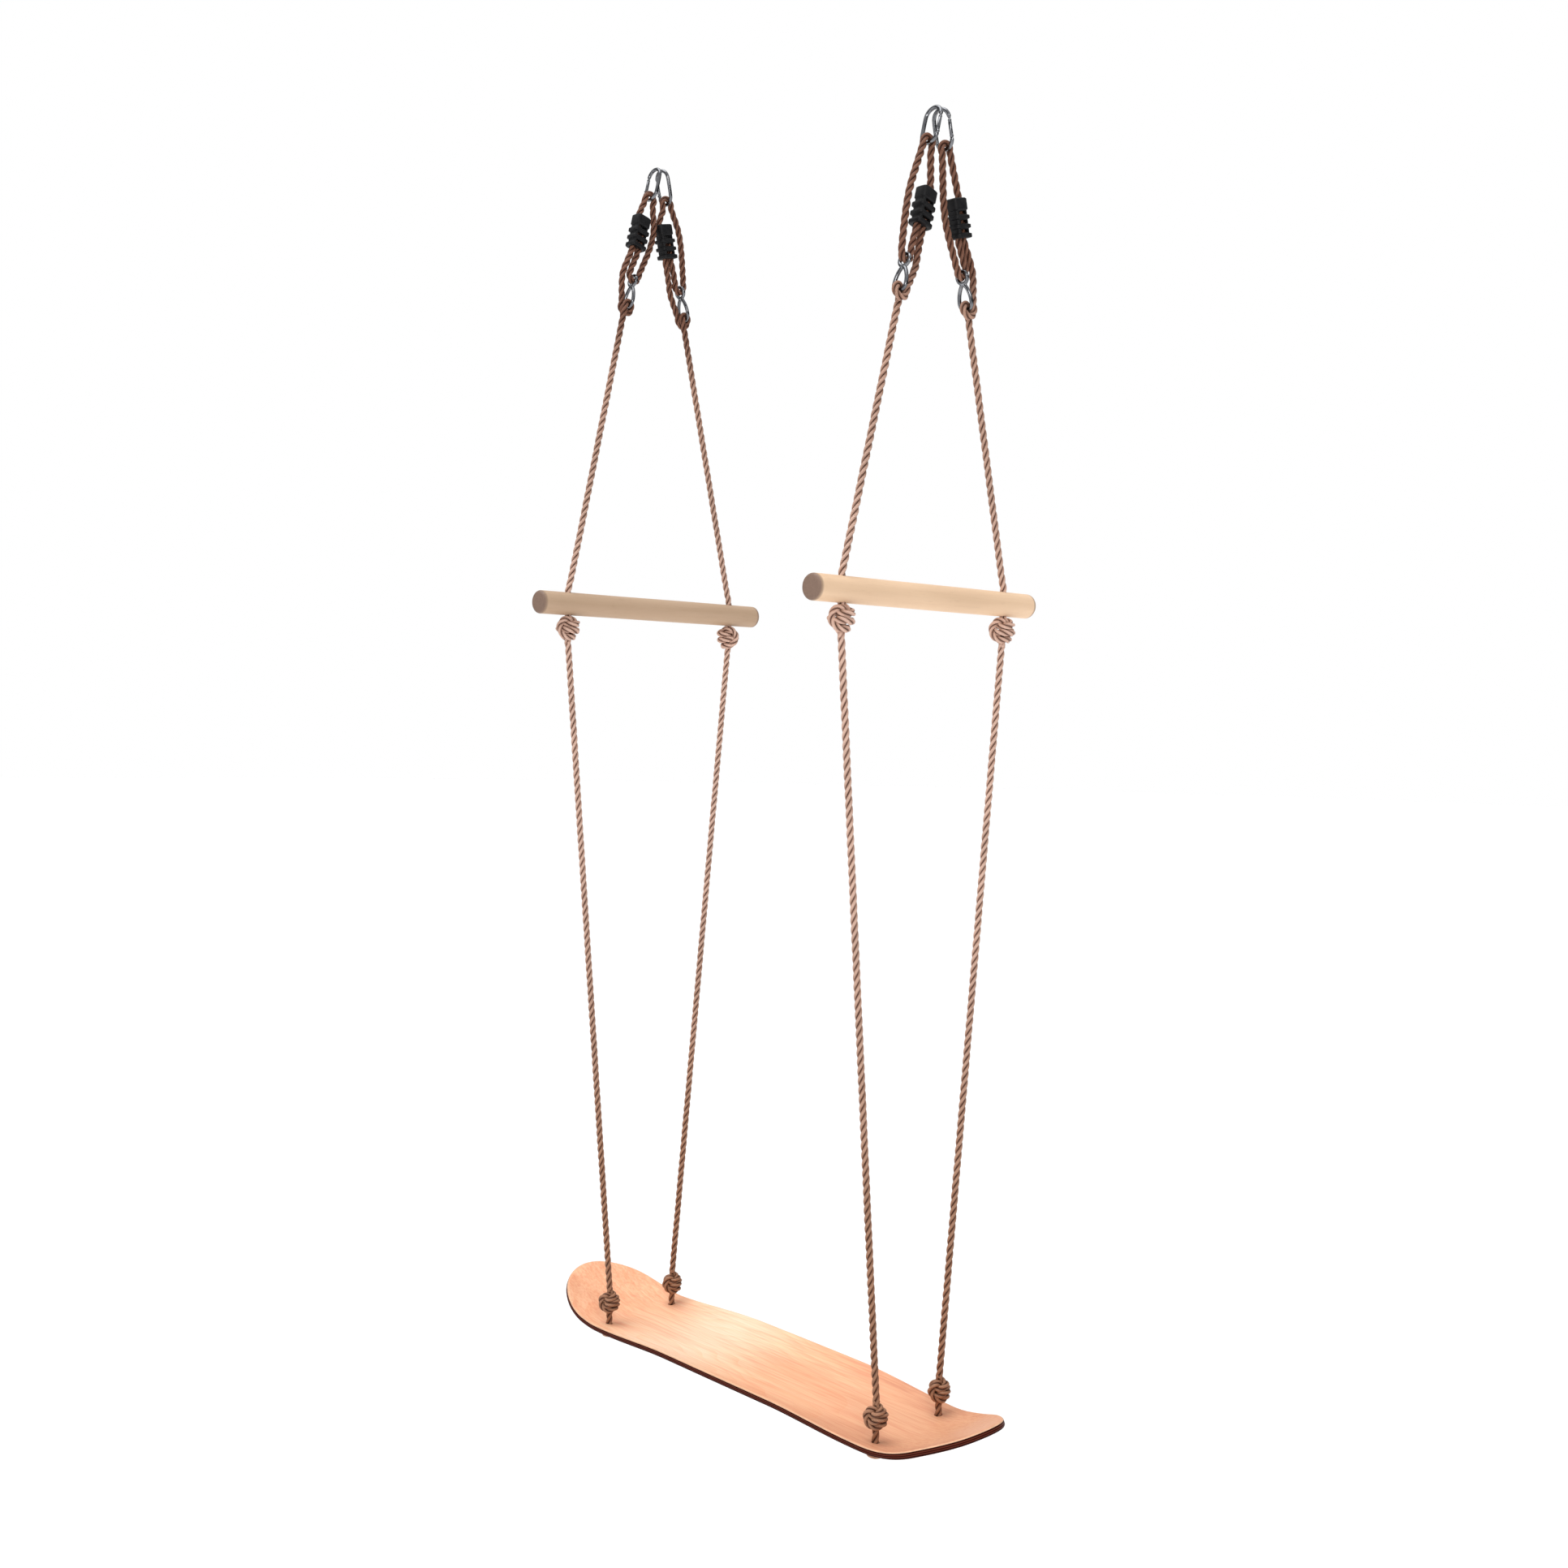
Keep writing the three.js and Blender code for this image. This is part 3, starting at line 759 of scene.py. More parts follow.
# ---- bars ----
def bar_profile():
    """(radius, place along) from one end of a bar to the other, with eased ends."""
    half = BAR_LENGTH / 2
    straight = half - BAR_EASE
    profile = [(BAR_R * 0.45, half)]
    steps = 7
    for i in range(steps + 1):
        angle = math.pi / 2 * i / steps
        ease = (BAR_R - BAR_EASE + BAR_EASE * math.sin(angle), straight + BAR_EASE * math.cos(angle))
        profile.append(ease)
    body = [(BAR_R, straight - 2 * straight * k / 24) for k in range(1, 24)]
    return profile + body + [(r, -y) for r, y in reversed(profile)]


def handle_bar(name, end, material):
    """A turned bar, very slightly uneven, drilled across for its two ropes."""
    profile = bar_profile()
    places = []
    for r, y in profile:
        uneven = r * (1 + 0.004 * math.sin(y / 37.0))
        for angle in angles(BAR_SIDES):
            places.append((uneven * math.cos(angle), y, uneven * math.sin(angle)))
    bar = mesh_object(name, places, ring_faces(0, len(profile), BAR_SIDES))
    bar.data.flip_normals()
    for side in (-1, 1):
        boolean(bar, cylinder_mesh("hole", ROPE_R + BAR_ROPE_PLAY, 4 * BAR_R, 32, (0, side * BAR_HOLE_Y, 0)))
    move(bar, Matrix.Translation((end * HANG_X, 0, BAR_Z)))
    smooth(bar.data, 45)
    end_name = "nose" if end > 0 else "tail"
    finish(bar, material, f"{end_name}_ropes", [f"{end_name}_bar"])


# ---- steel ----
RING_TURN_R = RING_WIDTH / 2 - RING_WIRE
RING_LOW_S = BAR_FOOT_S - RING_TURN_R
# the ring's necked end at the gate's tip, and its flattened tongue inside the gate's foot
NECK_LENGTH = 2.2
NECK_RATIO = 0.62
NECK_GROWTH = 0.1
TONGUE_LENGTH = 7.0
TONGUE_RAMP = 2.5
TONGUE_THINNING = 0.62
RIVET_R = 0.9
RIVET_HEAD_R = 1.1
RIVET_HALF = 3.0
GATE_END_R = 1.2
GATE_STEP_R = 1.95
GATE_SLOT = (9, 2.3, 8)
LINK_WAIST_DROP = 1.2
LINK_PINCH = 0.22


def arc_points(radius, centre_s, start, stop, count):
    points = []
    for i in range(count + 1):
        angle = math.radians(start + (stop - start) * i / count)
        points.append(Vector((radius * math.cos(angle), 0, radius * math.sin(angle) - centre_s)))
    return points


def steel_piece(obj, sling, material, body, node):
    move(obj, sling.matrix)
    smooth(obj.data, 45)
    finish(obj, material, body, [f"{sling.name}_{node}"])


def carabiner(sling, material):
    """An oval of wire, flattened where the gate is hinged and necked where it closes."""
    points = [
        Vector((RING_TURN_R, 0, -GATE_TOP_S + 0.5)),
        *arc_points(RING_TURN_R, RING_TURN_R, 0, 180, 12),
        *arc_points(RING_TURN_R, RING_LOW_S, 180, 360, 12),
        Vector((RING_TURN_R, 0, -GATE_HINGE_S + 2.4)),
    ]
    line = smooth_line(points, 0.7)
    run = distances(line)
    radii = np.where(run < NECK_LENGTH, RING_WIRE * (NECK_RATIO + NECK_GROWTH * run), RING_WIRE)
    tongue = np.clip((TONGUE_LENGTH - (run[-1] - run)) / TONGUE_RAMP, 0, 1)
    thin = 1 - TONGUE_THINNING * tongue
    full = np.ones_like(thin)
    along, n, b = carried_frames(line)
    across = abs(n[-1][1]) > 0.5
    flat = np.stack([thin, full] if across else [full, thin], axis=1)
    ring = sweep(f"{sling.name}_carabiner_wire", line, radii, 24, flat=flat)
    steel_piece(ring, sling, material, "hangers", "carabiner")


def gate_rivet(sling, material):
    """A pin across the hinge, thicker near its ends."""
    across = [RIVET_HALF * k for k in (-1, -1 / 3, 1 / 3, 1)]
    line = smooth_line([Vector((RING_TURN_R, y, -GATE_HINGE_S)) for y in across], 0.3)
    from_head = np.abs(np.abs(line[:, 1]) - (RIVET_HALF - 0.2))
    pin = sweep(f"{sling.name}_gate_rivet", line, np.maximum(RIVET_R, RIVET_HEAD_R - 0.5 * from_head), 16)
    steel_piece(pin, sling, material, "hangers", "gate_pin")


def gate(sling, material):
    """The gate: a round bar with a forked foot over the tongue and a stepped tip."""
    low = GATE_HINGE_S + 2.2
    high = GATE_TOP_S + 0.2
    stations = [
        (low, GATE_END_R), (low - 0.4, 1.9), (low - 1.0, GATE_R),
        (high + 3.4, GATE_R), (high + 3.0, GATE_STEP_R), (high + 2.2, GATE_STEP_R),
        (high + 1.8, GATE_R), (high + 0.5, GATE_R), (high + 0.1, 1.8), (high, GATE_END_R),
    ]
    line = np.array([[RING_TURN_R, 0, -s] for s, _ in stations])
    rod = sweep(f"{sling.name}_gate_rod", line, np.array([radius for _, radius in stations]), 24)
    boolean(rod, box_mesh("slot", GATE_SLOT, (RING_TURN_R, 0, -GATE_HINGE_S - 0.6)))
    steel_piece(rod, sling, material, f"{sling.name}_gate_body", "gate")


def lower_eye():
    """The link's lower eye: round below, and flatter and pinched above, up to the waist."""
    radius = LINK_LOWER_HALF_WIDTH - LINK_WIRE / 2
    centre_s = LINK_HEIGHT - LINK_LOWER_HALF_WIDTH
    waist_s = 2 * LINK_UPPER_R - LINK_WIRE / 2
    rise = centre_s - waist_s - LINK_WAIST_DROP
    steps = 16
    points = arc_points(radius, centre_s, 0, -180, steps)
    for i in range(steps):
        angle = math.pi * i / steps
        reach = radius * (1 - LINK_PINCH * math.sin(angle) ** 2)
        points.append(Vector((-reach * math.cos(angle), 0, -centre_s + rise * math.sin(angle))))
    return points


def figure_eight(sling, material):
    """Two eyes of round wire, pressed together and fused at the waist."""
    wire = LINK_WIRE / 2
    upper_eye = arc_points(LINK_UPPER_R - wire, LINK_UPPER_R, 90, -270, 28)[:-1]
    link, other = (
        sweep(name, smooth_line(points, 0.8, closed=True)[:-1], wire, 20, closed=True)
        for name, points in ((f"{sling.name}_figure_eight", upper_eye), ("lower_eye", lower_eye()))
    )
    face_outwards(link.data)
    face_outwards(other.data)
    boolean(link, other, "UNION")
    modify(link, "REMESH", mode="VOXEL", voxel_size=0.5 * MM)
    modify(link, "SMOOTH", factor=0.6, iterations=6)
    move(link, Matrix.Translation((0, 0, -sling.link_s)))
    steel_piece(link, sling, material, sling.ropes, "link")


# ---- adjusters ----
# half widths along the bore offset and across it
ADJUSTER_TOP = (10.8, 8.4)
ADJUSTER_BLOCK = (12.2, 9.6)
ADJUSTER_BODY = (10.6, 8.6)
ADJUSTER_RIB = (13.4, 10.6)
ADJUSTER_FOOT = (12.8, 10.0)
ADJUSTER_PLAY = 0.7
SECTION_PLACES = 40
SECTION_POWER = 0.42
WINDOW_WIDTH = 13.5


def rounded_section(half_w, half_x):
    """An outline with flat sides and well-rounded corners."""
    points = []
    for angle in angles(SECTION_PLACES):
        c, s = math.cos(angle), math.sin(angle)
        x = half_x * math.copysign(abs(c) ** SECTION_POWER, c)
        w = half_w * math.copysign(abs(s) ** SECTION_POWER, s)
        points.append((x, w))
    return points


def adjuster_block(name, bay):
    """A cap block over ribs, without its bores and windows."""
    stations = [(0, ADJUSTER_TOP), (1.4, ADJUSTER_BLOCK), (ADJUSTER_CAP - 1.0, ADJUSTER_BLOCK)]
    stations.append((ADJUSTER_CAP, ADJUSTER_BODY))
    for i in range(ADJUSTER_RIBS):
        top = ADJUSTER_CAP + i * bay
        stations.append((top + 0.46 * bay, ADJUSTER_BODY))
        stations += [(top + part * bay, ADJUSTER_RIB) for part in (0.56, 0.9)]
        stations.append((top + 0.995 * bay, ADJUSTER_BODY if i < ADJUSTER_RIBS - 1 else ADJUSTER_FOOT))
    places = []
    for s, (half_w, half_x) in stations:
        places += [(x, w, -s) for x, w in rounded_section(half_w, half_x)]
    block = mesh_object(name, places, ring_faces(0, len(stations), SECTION_PLACES))
    face_outwards(block.data)
    return block


def adjuster(sling, material):
    """A block bored through for the rope, with a socket for the rope's end and windows between its ribs."""
    bay = (ADJUSTER_LENGTH - ADJUSTER_CAP) / ADJUSTER_RIBS
    block = adjuster_block(f"{sling.name}_adjuster_moulded", bay)
    radius = ROPE_R + ADJUSTER_PLAY
    through = (0, ADJUSTER_BORE_OFFSET, -ADJUSTER_LENGTH / 2)
    boolean(block, cylinder_mesh("bore", radius, 2 * ADJUSTER_LENGTH, 24, through))
    socket = (0, -ADJUSTER_BORE_OFFSET, -ADJUSTER_LENGTH)
    boolean(block, cylinder_mesh("socket", radius, 2 * ADJUSTER_SOCKET, 24, socket))
    for i in range(ADJUSTER_RIBS):
        middle = ADJUSTER_CAP + i * bay + 0.25 * bay
        boolean(block, box_mesh("window", (60, WINDOW_WIDTH, 0.36 * bay), (0, 0, -middle)))
    corner = math.radians(38)
    modify(block, "BEVEL", 50, width=0.35 * MM, segments=2, limit_method="ANGLE", angle_limit=corner)
    move(block, Matrix.Translation((0, sling.lean, -sling.top)))
    move(block, sling.matrix)
    smooth(block.data, 50)
    finish(block, material, f"{sling.name}_adjuster_body", [f"{sling.name}_adjuster"])


# ---- materials ----
def grey(value):
    return (value, value, value)


def fill_ramp(ramp, stops):
    while len(ramp.elements) < len(stops):
        ramp.elements.new(0.5)
    for element, (position, colour) in zip(ramp.elements, stops):
        element.position = position
        element.color = (*colour, 1)


class Shader:
    """A material's node tree with short calls to add to it."""

    def __init__(self, name, **settings):
        self.material = bpy.data.materials.new(name)
        self.material.use_nodes = True
        self.tree = self.material.node_tree
        self.bsdf = self.tree.nodes["Principled BSDF"]
        self.set(**settings)

    def set(self, **sockets):
        """Sockets of the shader itself, with underscores for the spaces in their names."""
        for key, value in sockets.items():
            self.put(self.bsdf.inputs[key.replace("_", " ")], value)

    def add(self, kind, inputs=None, **settings):
        node = self.tree.nodes.new(kind)
        for key, value in settings.items():
            setattr(node, key, value)
        for key, value in (inputs or {}).items():
            self.put(node.inputs[key], value)
        return node

    def put(self, socket, value):
        if isinstance(value, bpy.types.NodeSocket):
            self.tree.links.new(value, socket)
        else:
            socket.default_value = value

    def math(self, operation, a, b=0.0, clamp=False):
        return self.add("ShaderNodeMath", {0: a, 1: b}, operation=operation, use_clamp=clamp).outputs[0]

    def times(self, a, b, amount=1.0):
        return self.mix(amount, a, b, "MULTIPLY")

    def coords(self):
        return self.add("ShaderNodeTexCoord").outputs["Object"]

    def axes(self):
        return self.add("ShaderNodeSeparateXYZ", {"Vector": self.coords()}).outputs

    def place(self, scale):
        return self.add("ShaderNodeMapping", {"Vector": self.coords(), "Scale": scale}).outputs[0]

    def noise(self, vector, scale, detail, rough, distortion=0.0):
        inputs = {"Vector": vector, "Scale": scale, "Detail": detail, "Roughness": rough}
        return self.add("ShaderNodeTexNoise", {**inputs, "Distortion": distortion}).outputs["Fac"]

    def grain(self, scale, detail=4.0, rough=0.55, distortion=0.0):
        return self.noise(self.place(scale), 1.0, detail, rough, distortion)

    def ramp(self, factor, stops, interpolation="LINEAR"):
        node = self.add("ShaderNodeValToRGB", {"Fac": factor})
        node.color_ramp.interpolation = interpolation
        fill_ramp(node.color_ramp, stops)
        return node.outputs["Color"]

    def mix(self, factor, a, b, blend="MIX"):
        node = self.add("ShaderNodeMix", data_type="RGBA", blend_type=blend)
        colour = [s for s in node.inputs if s.type == "RGBA"]
        self.put(node.inputs[0], factor)
        self.put(colour[0], a)
        self.put(colour[1], b)
        return [s for s in node.outputs if s.type == "RGBA"][0]

    def bump(self, height, strength, distance, normal=None):
        inputs = {"Height": height, "Strength": strength, "Distance": distance}
        if normal is not None:
            inputs["Normal"] = normal
        return self.add("ShaderNodeBump", inputs).outputs["Normal"]


MAPLE_STREAKS = [(0.25, (0.79, 0.375, 0.235)), (0.5, (0.86, 0.435, 0.285)), (0.78, (0.91, 0.50, 0.34))]
# painted highlight: the cream band left of the board's middle
MAPLE_PAINTED_HIGHLIGHT = (0.96, 0.67, 0.52, 1)
MAPLE_LATE_WOOD = (0.97, 0.89, 0.84, 1)
MAPLE_BROWN = (0.66, 0.335, 0.215, 1)
MAPLE_PATCHES = [(0.32, (0.84, 0.80, 0.78)), (0.5, (1.0, 0.98, 0.96)), (0.75, grey(1.0))]
MAPLE_FIBRES = [(0.35, (0.62, 0.36, 0.24)), (0.6, (1.0, 0.86, 0.70))]
PLY_LIGHT = (0.72, 0.44, 0.29)
# partly painted shade: the edge's maroon and reddish plies are painted very dark, which holds the shade on
# the board's edge as well as their own colour
PLY_MAROON_AND_SHADE = (0.030, 0.005, 0.003)
PLY_REDDISH = (0.13, 0.032, 0.020)
PLIES = [
    (0.0, PLY_LIGHT), (0.22, PLY_MAROON_AND_SHADE), (0.40, PLY_REDDISH),
    (0.52, PLY_MAROON_AND_SHADE), (0.66, PLY_REDDISH), (0.76, PLY_MAROON_AND_SHADE),
]
PLY_GRAIN = [(0.3, grey(0.5)), (0.7, (1.3, 1.2, 1.1))]
UNDERSIDE_STAIN = (0.42, 0.22, 0.17, 1)
# depths through the board at which its top ends and its underside starts
TOP_ENDS, UNDERSIDE_STARTS = 0.06, 0.97


def growth_rings(s):
    """Sawtooth rings about the board's middle, drawn out along it and warped."""
    warp = s.grain((3.4, 9.0, 0.0), 2.0, 0.5)
    shift = {"X": s.math("MULTIPLY", warp, 0.32), "Y": s.math("MULTIPLY", warp, 0.75)}
    shift = s.add("ShaderNodeCombineXYZ", shift).outputs[0]
    place = s.add("ShaderNodeVectorMath", {0: s.place((1.1, 6.5, 0.0)), 1: shift}, operation="ADD")
    return s.add(
        "ShaderNodeTexWave",
        {"Vector": place.outputs[0], "Scale": 4.2, "Distortion": 1.6, "Detail": 2.0, "Detail Scale": 1.4},
        wave_type="RINGS", rings_direction="SPHERICAL", wave_profile="SAW",
    ).outputs["Fac"]


def veneer_colour(s, streaks, fibres):
    """Maple with a painted highlight, a cream band left of the middle, and browner towards the nose."""
    along = s.math("ADD", s.axes()["X"], 0.5)
    # painted highlight: a cream band left of the middle of the board
    painted_highlight = s.ramp(along, [(0.20, grey(0)), (0.36, grey(0.8)), (0.55, grey(0))], "EASE")
    brown = s.ramp(along, [(0.52, grey(0)), (0.78, grey(0.9))], "EASE")
    base = s.mix(painted_highlight, s.ramp(streaks, MAPLE_STREAKS), MAPLE_PAINTED_HIGHLIGHT)
    base = s.mix(s.math("POWER", growth_rings(s), 2.5), base, s.times(base, MAPLE_LATE_WOOD))
    base = s.mix(brown, base, MAPLE_BROWN)
    base = s.times(base, s.ramp(s.grain((3.2, 8.5, 8.5), 2.0, 0.5), MAPLE_PATCHES))
    return s.mix(0.30, base, s.ramp(fibres, MAPLE_FIBRES), "OVERLAY")


def ply_colour(s, depth):
    """Light, maroon and reddish plies, which the board's edge shows; the maroon plies are painted near
    black, partly as painted shade.
    """
    grain = s.grain((60.0, 60.0, 900.0), 3.0)
    return s.times(s.ramp(depth, PLIES, "CONSTANT"), s.ramp(grain, PLY_GRAIN), 0.35)


def maple_material():
    """Sealed maple veneer with long grain and ring figure, plies along the edge and a stained underside."""
    s = Shader("maple", Roughness=0.42)
    fibres = s.grain((14.0, 420.0, 420.0), 3.0, 0.6)
    streaks = s.grain((5.0, 75.0, 75.0), 4.0, 0.55, 0.4)
    depth = s.add("ShaderNodeAttribute", attribute_name="ply_depth").outputs["Fac"]
    veneer = veneer_colour(s, streaks, fibres)
    plies = ply_colour(s, depth)
    under_top = s.math("GREATER_THAN", depth, TOP_ENDS)
    side = s.math("MULTIPLY", under_top, s.math("LESS_THAN", depth, UNDERSIDE_STARTS))
    underside = s.math("GREATER_THAN", depth, UNDERSIDE_STARTS)
    faces = s.mix(underside, veneer, s.times(veneer, UNDERSIDE_STAIN))
    s.set(
        Base_Color=s.mix(side, faces, plies),
        Roughness=s.math("ADD", 0.36, s.math("MULTIPLY", streaks, 0.16)),
        Specular_IOR_Level=s.math("SUBTRACT", 0.32, s.math("MULTIPLY", side, 0.30)),
        Normal=s.bump(plies, 0.3, 0.0003, s.bump(fibres, 0.25, 0.0004)),
    )
    return s.material


BEECH_STREAKS = [(0.25, (0.69, 0.495, 0.330)), (0.5, (0.72, 0.525, 0.357)), (0.8, (0.76, 0.56, 0.385))]
BEECH_FLECK = (0.36, 0.22, 0.13, 1)
BEECH_PATCHES = [(0.3, (0.86, 0.84, 0.82)), (0.7, grey(1.0))]
# painted light and shade: the tail's bar is painted darker than the nose's
BEECH_PAINTED_LIGHT_AND_SHADE = [(0.4, (0.76, 0.73, 0.72)), (0.6, (1.24, 1.21, 1.19))]
# end grain: its own browner colour, darkened further by painted shade on the bar's end faces
END_GRAIN_AND_SHADE = [(0.1, (0.11, 0.062, 0.042)), (0.5, (0.23, 0.145, 0.105))]
END_GRAIN_AND_SHADE_DEPTH = 6.5
END_GRAIN_AND_SHADE_FADE = 5.0


def with_end_grain_and_shade(s, base, along):
    """The base colour, and towards both ends of the bar the browner pores of the end grain, darkened further
    by painted shade.
    """
    inward = s.math("SUBTRACT", s.math("ABSOLUTE", along), (BAR_LENGTH / 2 - END_GRAIN_AND_SHADE_DEPTH) * MM)
    mask = s.math("MULTIPLY", inward, 1 / (END_GRAIN_AND_SHADE_FADE * MM), True)
    pores = s.add("ShaderNodeTexVoronoi", {"Vector": s.coords(), "Scale": 1500.0}).outputs["Distance"]
    return s.mix(s.math("POWER", mask, 0.7), base, s.ramp(pores, END_GRAIN_AND_SHADE))


def beech_material():
    """Sanded beech with short flecks along the bar, browner end grain darkened further by painted shade, and
    painted light and shade that make the tail's bar darker than the nose's.
    """
    s = Shader("beech")
    axes = s.axes()
    streaks = s.grain((130.0, 5.0, 130.0), 4.0, 0.55, 0.3)
    flecks = s.grain((620.0, 55.0, 620.0), 3.0, 0.6)
    patches = s.grain((9.0, 3.5, 9.0), 2.0)
    fleck_mask = s.ramp(flecks, [(0.58, grey(0)), (0.75, grey(0.16))])
    base = s.mix(fleck_mask, s.ramp(streaks, BEECH_STREAKS), BEECH_FLECK)
    base = s.times(base, s.ramp(patches, BEECH_PATCHES))
    # painted light on the nose's bar and painted shade on the tail's bar
    base = s.times(base, s.ramp(s.math("ADD", axes["X"], 0.5), BEECH_PAINTED_LIGHT_AND_SHADE))
    s.set(
        Base_Color=with_end_grain_and_shade(s, base, axes["Y"]),
        Roughness=s.math("ADD", 0.46, s.math("MULTIPLY", flecks, 0.22)),
        Normal=s.bump(flecks, 0.2, 0.0003, s.bump(streaks, 0.25, 0.0006)),
    )
    return s.material


# painted shade by facing: dark between the strands, lightest along each strand's outermost line
ROPE_PAINTED_SHADE_BY_FACING = [
    (0.10, (0.020, 0.008, 0.006)), (0.35, (0.20, 0.105, 0.075)), (0.70, (0.64, 0.42, 0.33)),
    (1.0, (0.92, 0.66, 0.54)),
]
# from the deck up; 0 is ROPE_ZONE_BASE below the hooks and 1 is ROPE_ZONE_SPAN higher, in metres
# browner at the deck, and painted shade darkening the slings at the top
ROPE_TONES_AND_PAINTED_SHADE_BY_HEIGHT = [
    (0.07, (0.50, 0.37, 0.27)), (0.20, (0.60, 0.48, 0.38)), (0.42, grey(1.0)), (0.60, grey(1.0)),
    (0.67, (0.80, 0.77, 0.75)), (0.76, (0.72, 0.66, 0.62)), (0.80, (0.30, 0.20, 0.155)),
]
ROPE_ZONE_BASE = 1.8
ROPE_ZONE_SPAN = 2.0
# painted shade between the yarns
ROPE_PAINTED_YARN_SHADE = [(0.0, (0.68, 0.62, 0.60)), (0.35, (0.93, 0.91, 0.90)), (1.0, grey(1.0))]
ROPE_FIBRES = [(0.3, (0.55, 0.48, 0.45)), (0.7, grey(1.0))]
ROPE_PATCHES = [(0.3, (0.80, 0.76, 0.74)), (0.7, (1.08, 1.04, 1.02))]


def half_wave(s, operation, turns):
    """A sine or cosine of the turns that runs between 0 and 1."""
    wave = s.math(operation, s.math("MULTIPLY", turns, 2 * math.pi))
    return s.math("MULTIPLY", s.math("ADD", wave, 1.0), 0.5)


def rope_material():
    """Twisted synthetic hemp: yarns across each strand with painted shade between them, painted shade
    between strands, browner at the deck, and painted shade on the slings at the top.
    """
    s = Shader("rope", Specular_IOR_Level=0.3)
    uv = s.add("ShaderNodeUVMap", uv_map="strand").outputs["UV"]
    u, v, _ = s.add("ShaderNodeSeparateXYZ", {"Vector": uv}).outputs
    turns = s.math("SUBTRACT", s.math("MULTIPLY", u, float(YARNS_PER_TURN)), s.math("MULTIPLY", v, 2.3))
    yarn = half_wave(s, "SINE", turns)
    fibre_uv = {"X": s.math("MULTIPLY", turns, 5.0), "Y": s.math("MULTIPLY", v, 1.2)}
    fibres = s.noise(s.add("ShaderNodeCombineXYZ", fibre_uv).outputs[0], 1.6, 3.0, 0.6)
    patches = s.grain((16.0, 16.0, 16.0), 2.0)
    # the height sets the painted shade on the slings at the top
    height = s.math("MULTIPLY", s.math("ADD", s.axes()["Z"], ROPE_ZONE_BASE), 1 / ROPE_ZONE_SPAN)
    # painted shade between the strands, and by height painted shade on the slings at the top
    colour = s.times(s.ramp(half_wave(s, "COSINE", u), ROPE_PAINTED_SHADE_BY_FACING), s.ramp(height, ROPE_TONES_AND_PAINTED_SHADE_BY_HEIGHT))
    # painted shade in the grooves between the yarns
    colour = s.times(colour, s.ramp(yarn, ROPE_PAINTED_YARN_SHADE))
    colour = s.times(colour, s.ramp(fibres, ROPE_FIBRES), 0.35)
    s.set(
        Base_Color=s.times(colour, s.ramp(patches, ROPE_PATCHES), 0.6),
        Roughness=s.math("ADD", 0.38, s.math("MULTIPLY", fibres, 0.25)),
        Normal=s.bump(fibres, 0.4, 0.0003, s.bump(yarn, 0.6, 0.0005)),
    )
    return s.material


def steel_material():
    """Zinc-plated steel: bright and smooth, with darker patches and fine specks."""
    s = Shader("zinc_plated_steel", Metallic=1.0)
    patches = s.grain((90.0, 90.0, 90.0), 3.0)
    specks = s.grain((900.0, 900.0, 900.0), 3.0, 0.6)
    s.set(
        Base_Color=s.ramp(patches, [(0.3, (0.12, 0.124, 0.135)), (0.7, (0.26, 0.265, 0.28))]),
        Roughness=s.math("ADD", 0.07, s.math("MULTIPLY", specks, 0.16)),
        Normal=s.bump(patches, 0.2, 0.0008, s.bump(specks, 0.15, 0.0002)),
    )
    return s.material


def plastic_material():
    """Black moulded plastic with a fine spark-eroded grain and slightly rubbed patches."""
    s = Shader("black_plastic", Specular_IOR_Level=0.22)
    grain = s.grain((1600.0, 1600.0, 1600.0), 3.0, 0.6)
    rubbed = s.grain((110.0, 110.0, 110.0), 3.0)
    s.set(
        Base_Color=s.ramp(rubbed, [(0.35, (0.004, 0.004, 0.005)), (0.75, (0.011, 0.011, 0.012))]),
        Roughness=s.math("ADD", 0.42, s.math("MULTIPLY", rubbed, 0.2)),
        Normal=s.bump(grain, 0.3, 0.0002),
    )
    return s.material


# ---- stage ----
FLOOR_DROP = 0.55
WORLD_STOPS = [(0.0, 0.30), (0.06, 0.06), (0.3, 0.10), (0.45, 0.62), (1.0, 0.85)]


def make_floor():
    bm = bmesh.new()
    bmesh.ops.create_circle(bm, cap_ends=True, segments=96, radius=30)
    floor = bmesh_object("floor", bm)
    floor.location = (0, 0, DECK_TOP_Z * MM - FLOOR_DROP)
    s = Shader("floor", Roughness=0.9, Base_Color=(*grey(0.80), 1))
    s.set(Emission_Color=(1, 1, 1, 1), Emission_Strength=0.12)
    floor.data.materials.append(s.material)


def add_light(name, kind, power):
    light = bpy.data.objects.new(name, bpy.data.lights.new(name, kind))
    light.data.energy = power
    bpy.context.scene.collection.objects.link(light)
    return light


def area_light(name, place, target, size, power, colour=(1, 1, 1)):
    light = add_light(name, "AREA", power)
    light.data.shape = "DISK"
    light.data.size = size
    light.data.color = colour
    light.location = place
    aim = Vector(target) - Vector(place)
    light.rotation_euler = aim.to_track_quat("-Z", "Y").to_euler()


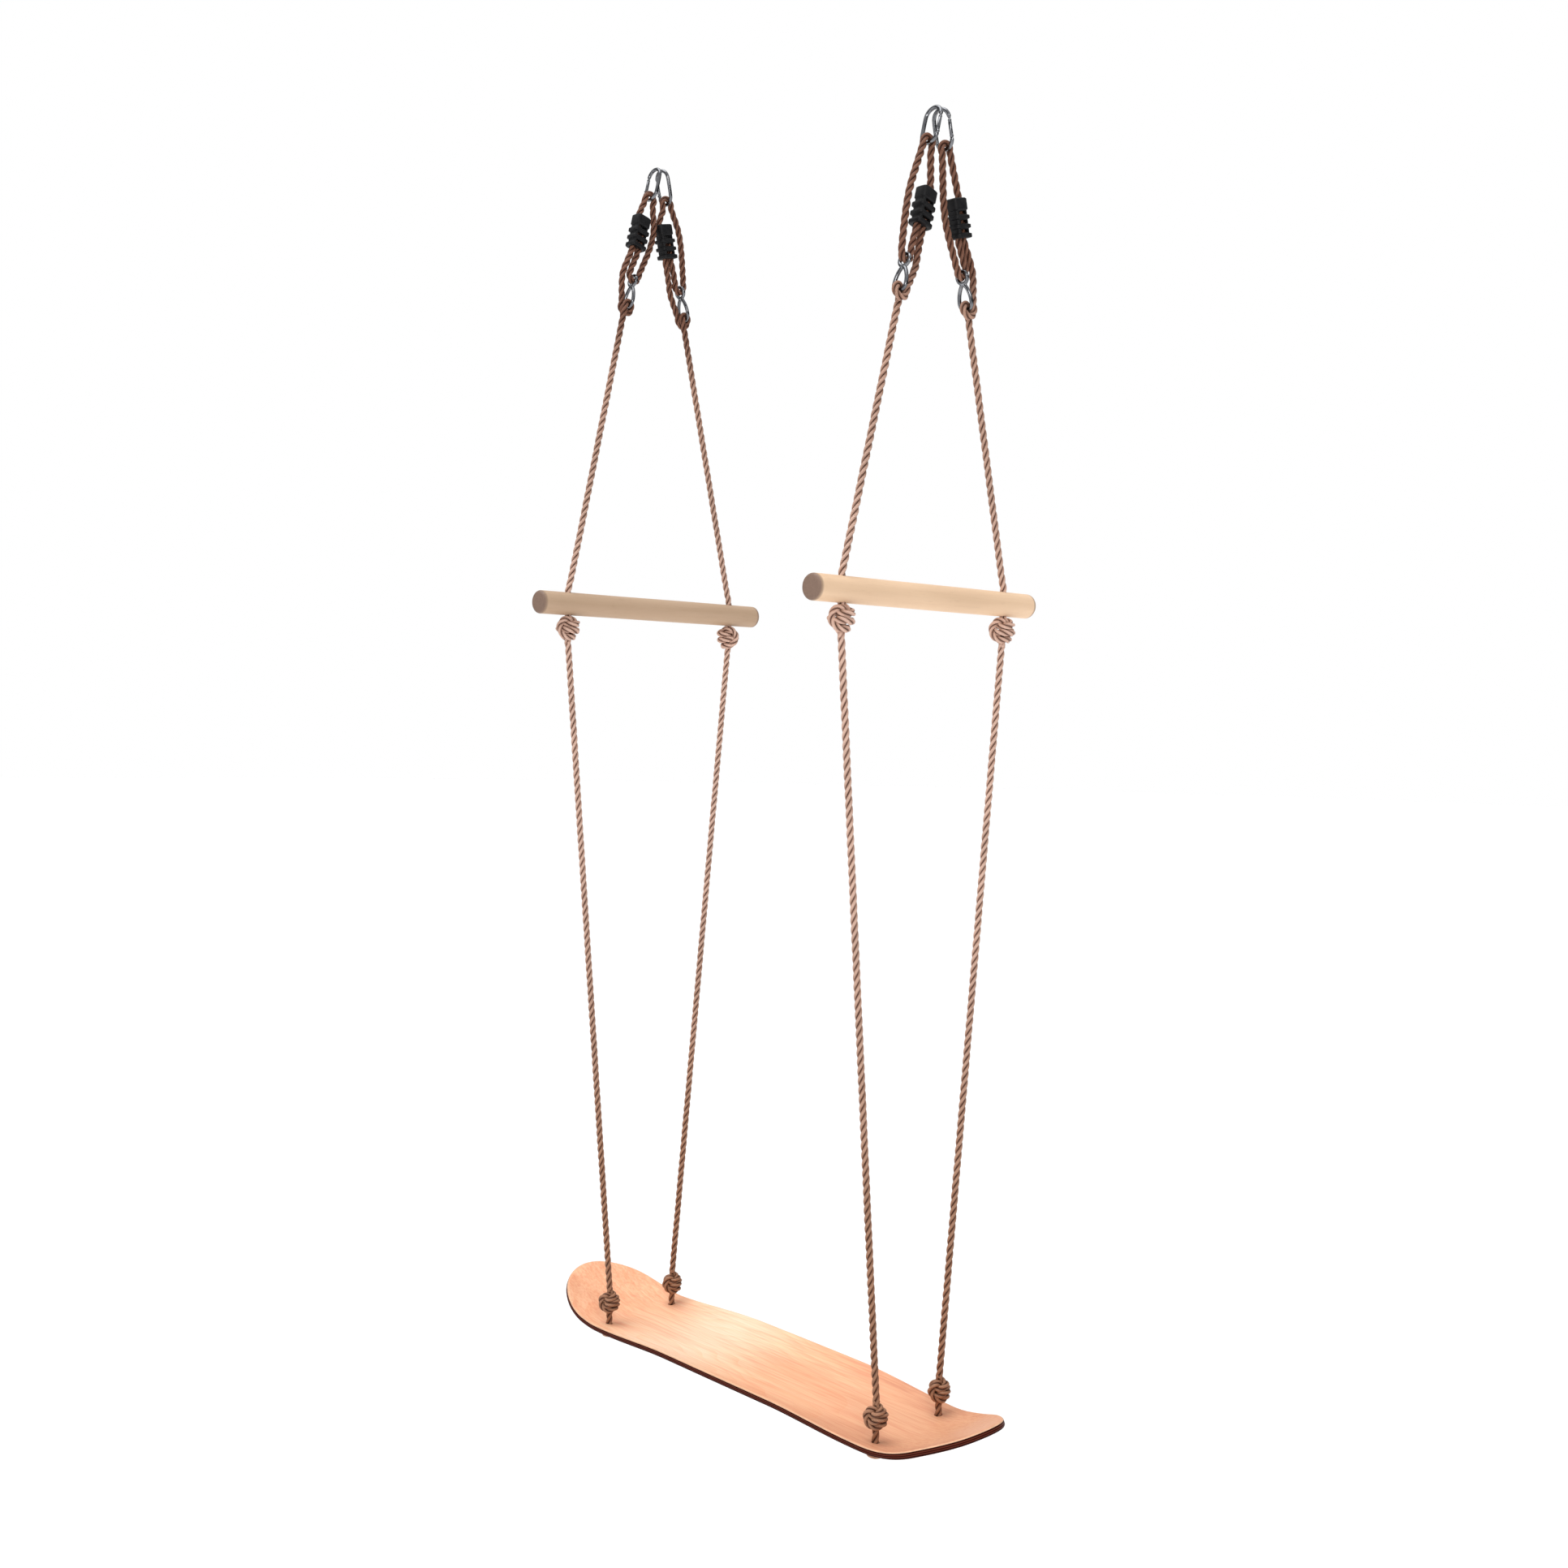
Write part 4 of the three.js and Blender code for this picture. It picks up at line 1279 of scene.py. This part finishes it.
def make_world():
    """White to the camera; to light and reflections bright above, dark at the horizon and dim below."""
    world = bpy.data.worlds.new("studio")
    world.use_nodes = True
    tree = world.node_tree
    nodes = tree.nodes
    background = nodes["Background"]
    coords = nodes.new("ShaderNodeTexCoord")
    split = nodes.new("ShaderNodeSeparateXYZ")
    ramp = nodes.new("ShaderNodeValToRGB")
    tree.links.new(coords.outputs["Generated"], split.inputs[0])
    tree.links.new(split.outputs["Z"], ramp.inputs["Fac"])
    fill_ramp(ramp.color_ramp, [(position, grey(value)) for position, value in WORLD_STOPS])
    tree.links.new(ramp.outputs["Color"], background.inputs["Color"])
    white = nodes.new("ShaderNodeBackground")
    mix = nodes.new("ShaderNodeMixShader")
    rays = nodes.new("ShaderNodeLightPath")
    tree.links.new(rays.outputs["Is Camera Ray"], mix.inputs[0])
    tree.links.new(background.outputs[0], mix.inputs[1])
    tree.links.new(white.outputs[0], mix.inputs[2])
    white.inputs["Color"].default_value = (1, 1, 1, 1)
    tree.links.new(mix.outputs[0], nodes["World Output"].inputs["Surface"])
    bpy.context.scene.world = world


def make_sun():
    sun = add_light("sky_panel", "SUN", 1.75)
    sun.data.angle = math.radians(50)
    sun.rotation_euler = (math.radians(14), math.radians(-10), 0)


def make_lights():
    make_world()
    make_sun()
    middle = (0, 0, -1.0)
    area_light("key", (2.4, -1.9, 0.5), middle, 1.2, 30, (1, 0.98, 0.95))
    area_light("fill", (-1.4, -3.0, -0.2), middle, 2.0, 10)
    bpy.context.scene.view_settings.view_transform = "Standard"


# ---- assembly ----
make_camera()
rope = rope_material()
for index, corner in enumerate(SLINGS):
    sling_rope(corner, rope)
    lower_rope(corner, rope)
    bar_knot(corner, index, rope)
    deck_knots(corner, index, rope)

steel = steel_material()
plastic = plastic_material()
for corner in SLINGS:
    carabiner(corner, steel)
    gate_rivet(corner, steel)
    gate(corner, steel)
    figure_eight(corner, steel)
    adjuster(corner, plastic)

beech = beech_material()
handle_bar("tail_bar_turned", -1, beech)
handle_bar("nose_bar_turned", 1, beech)
pressed_deck(maple_material())
make_floor()
make_lights()
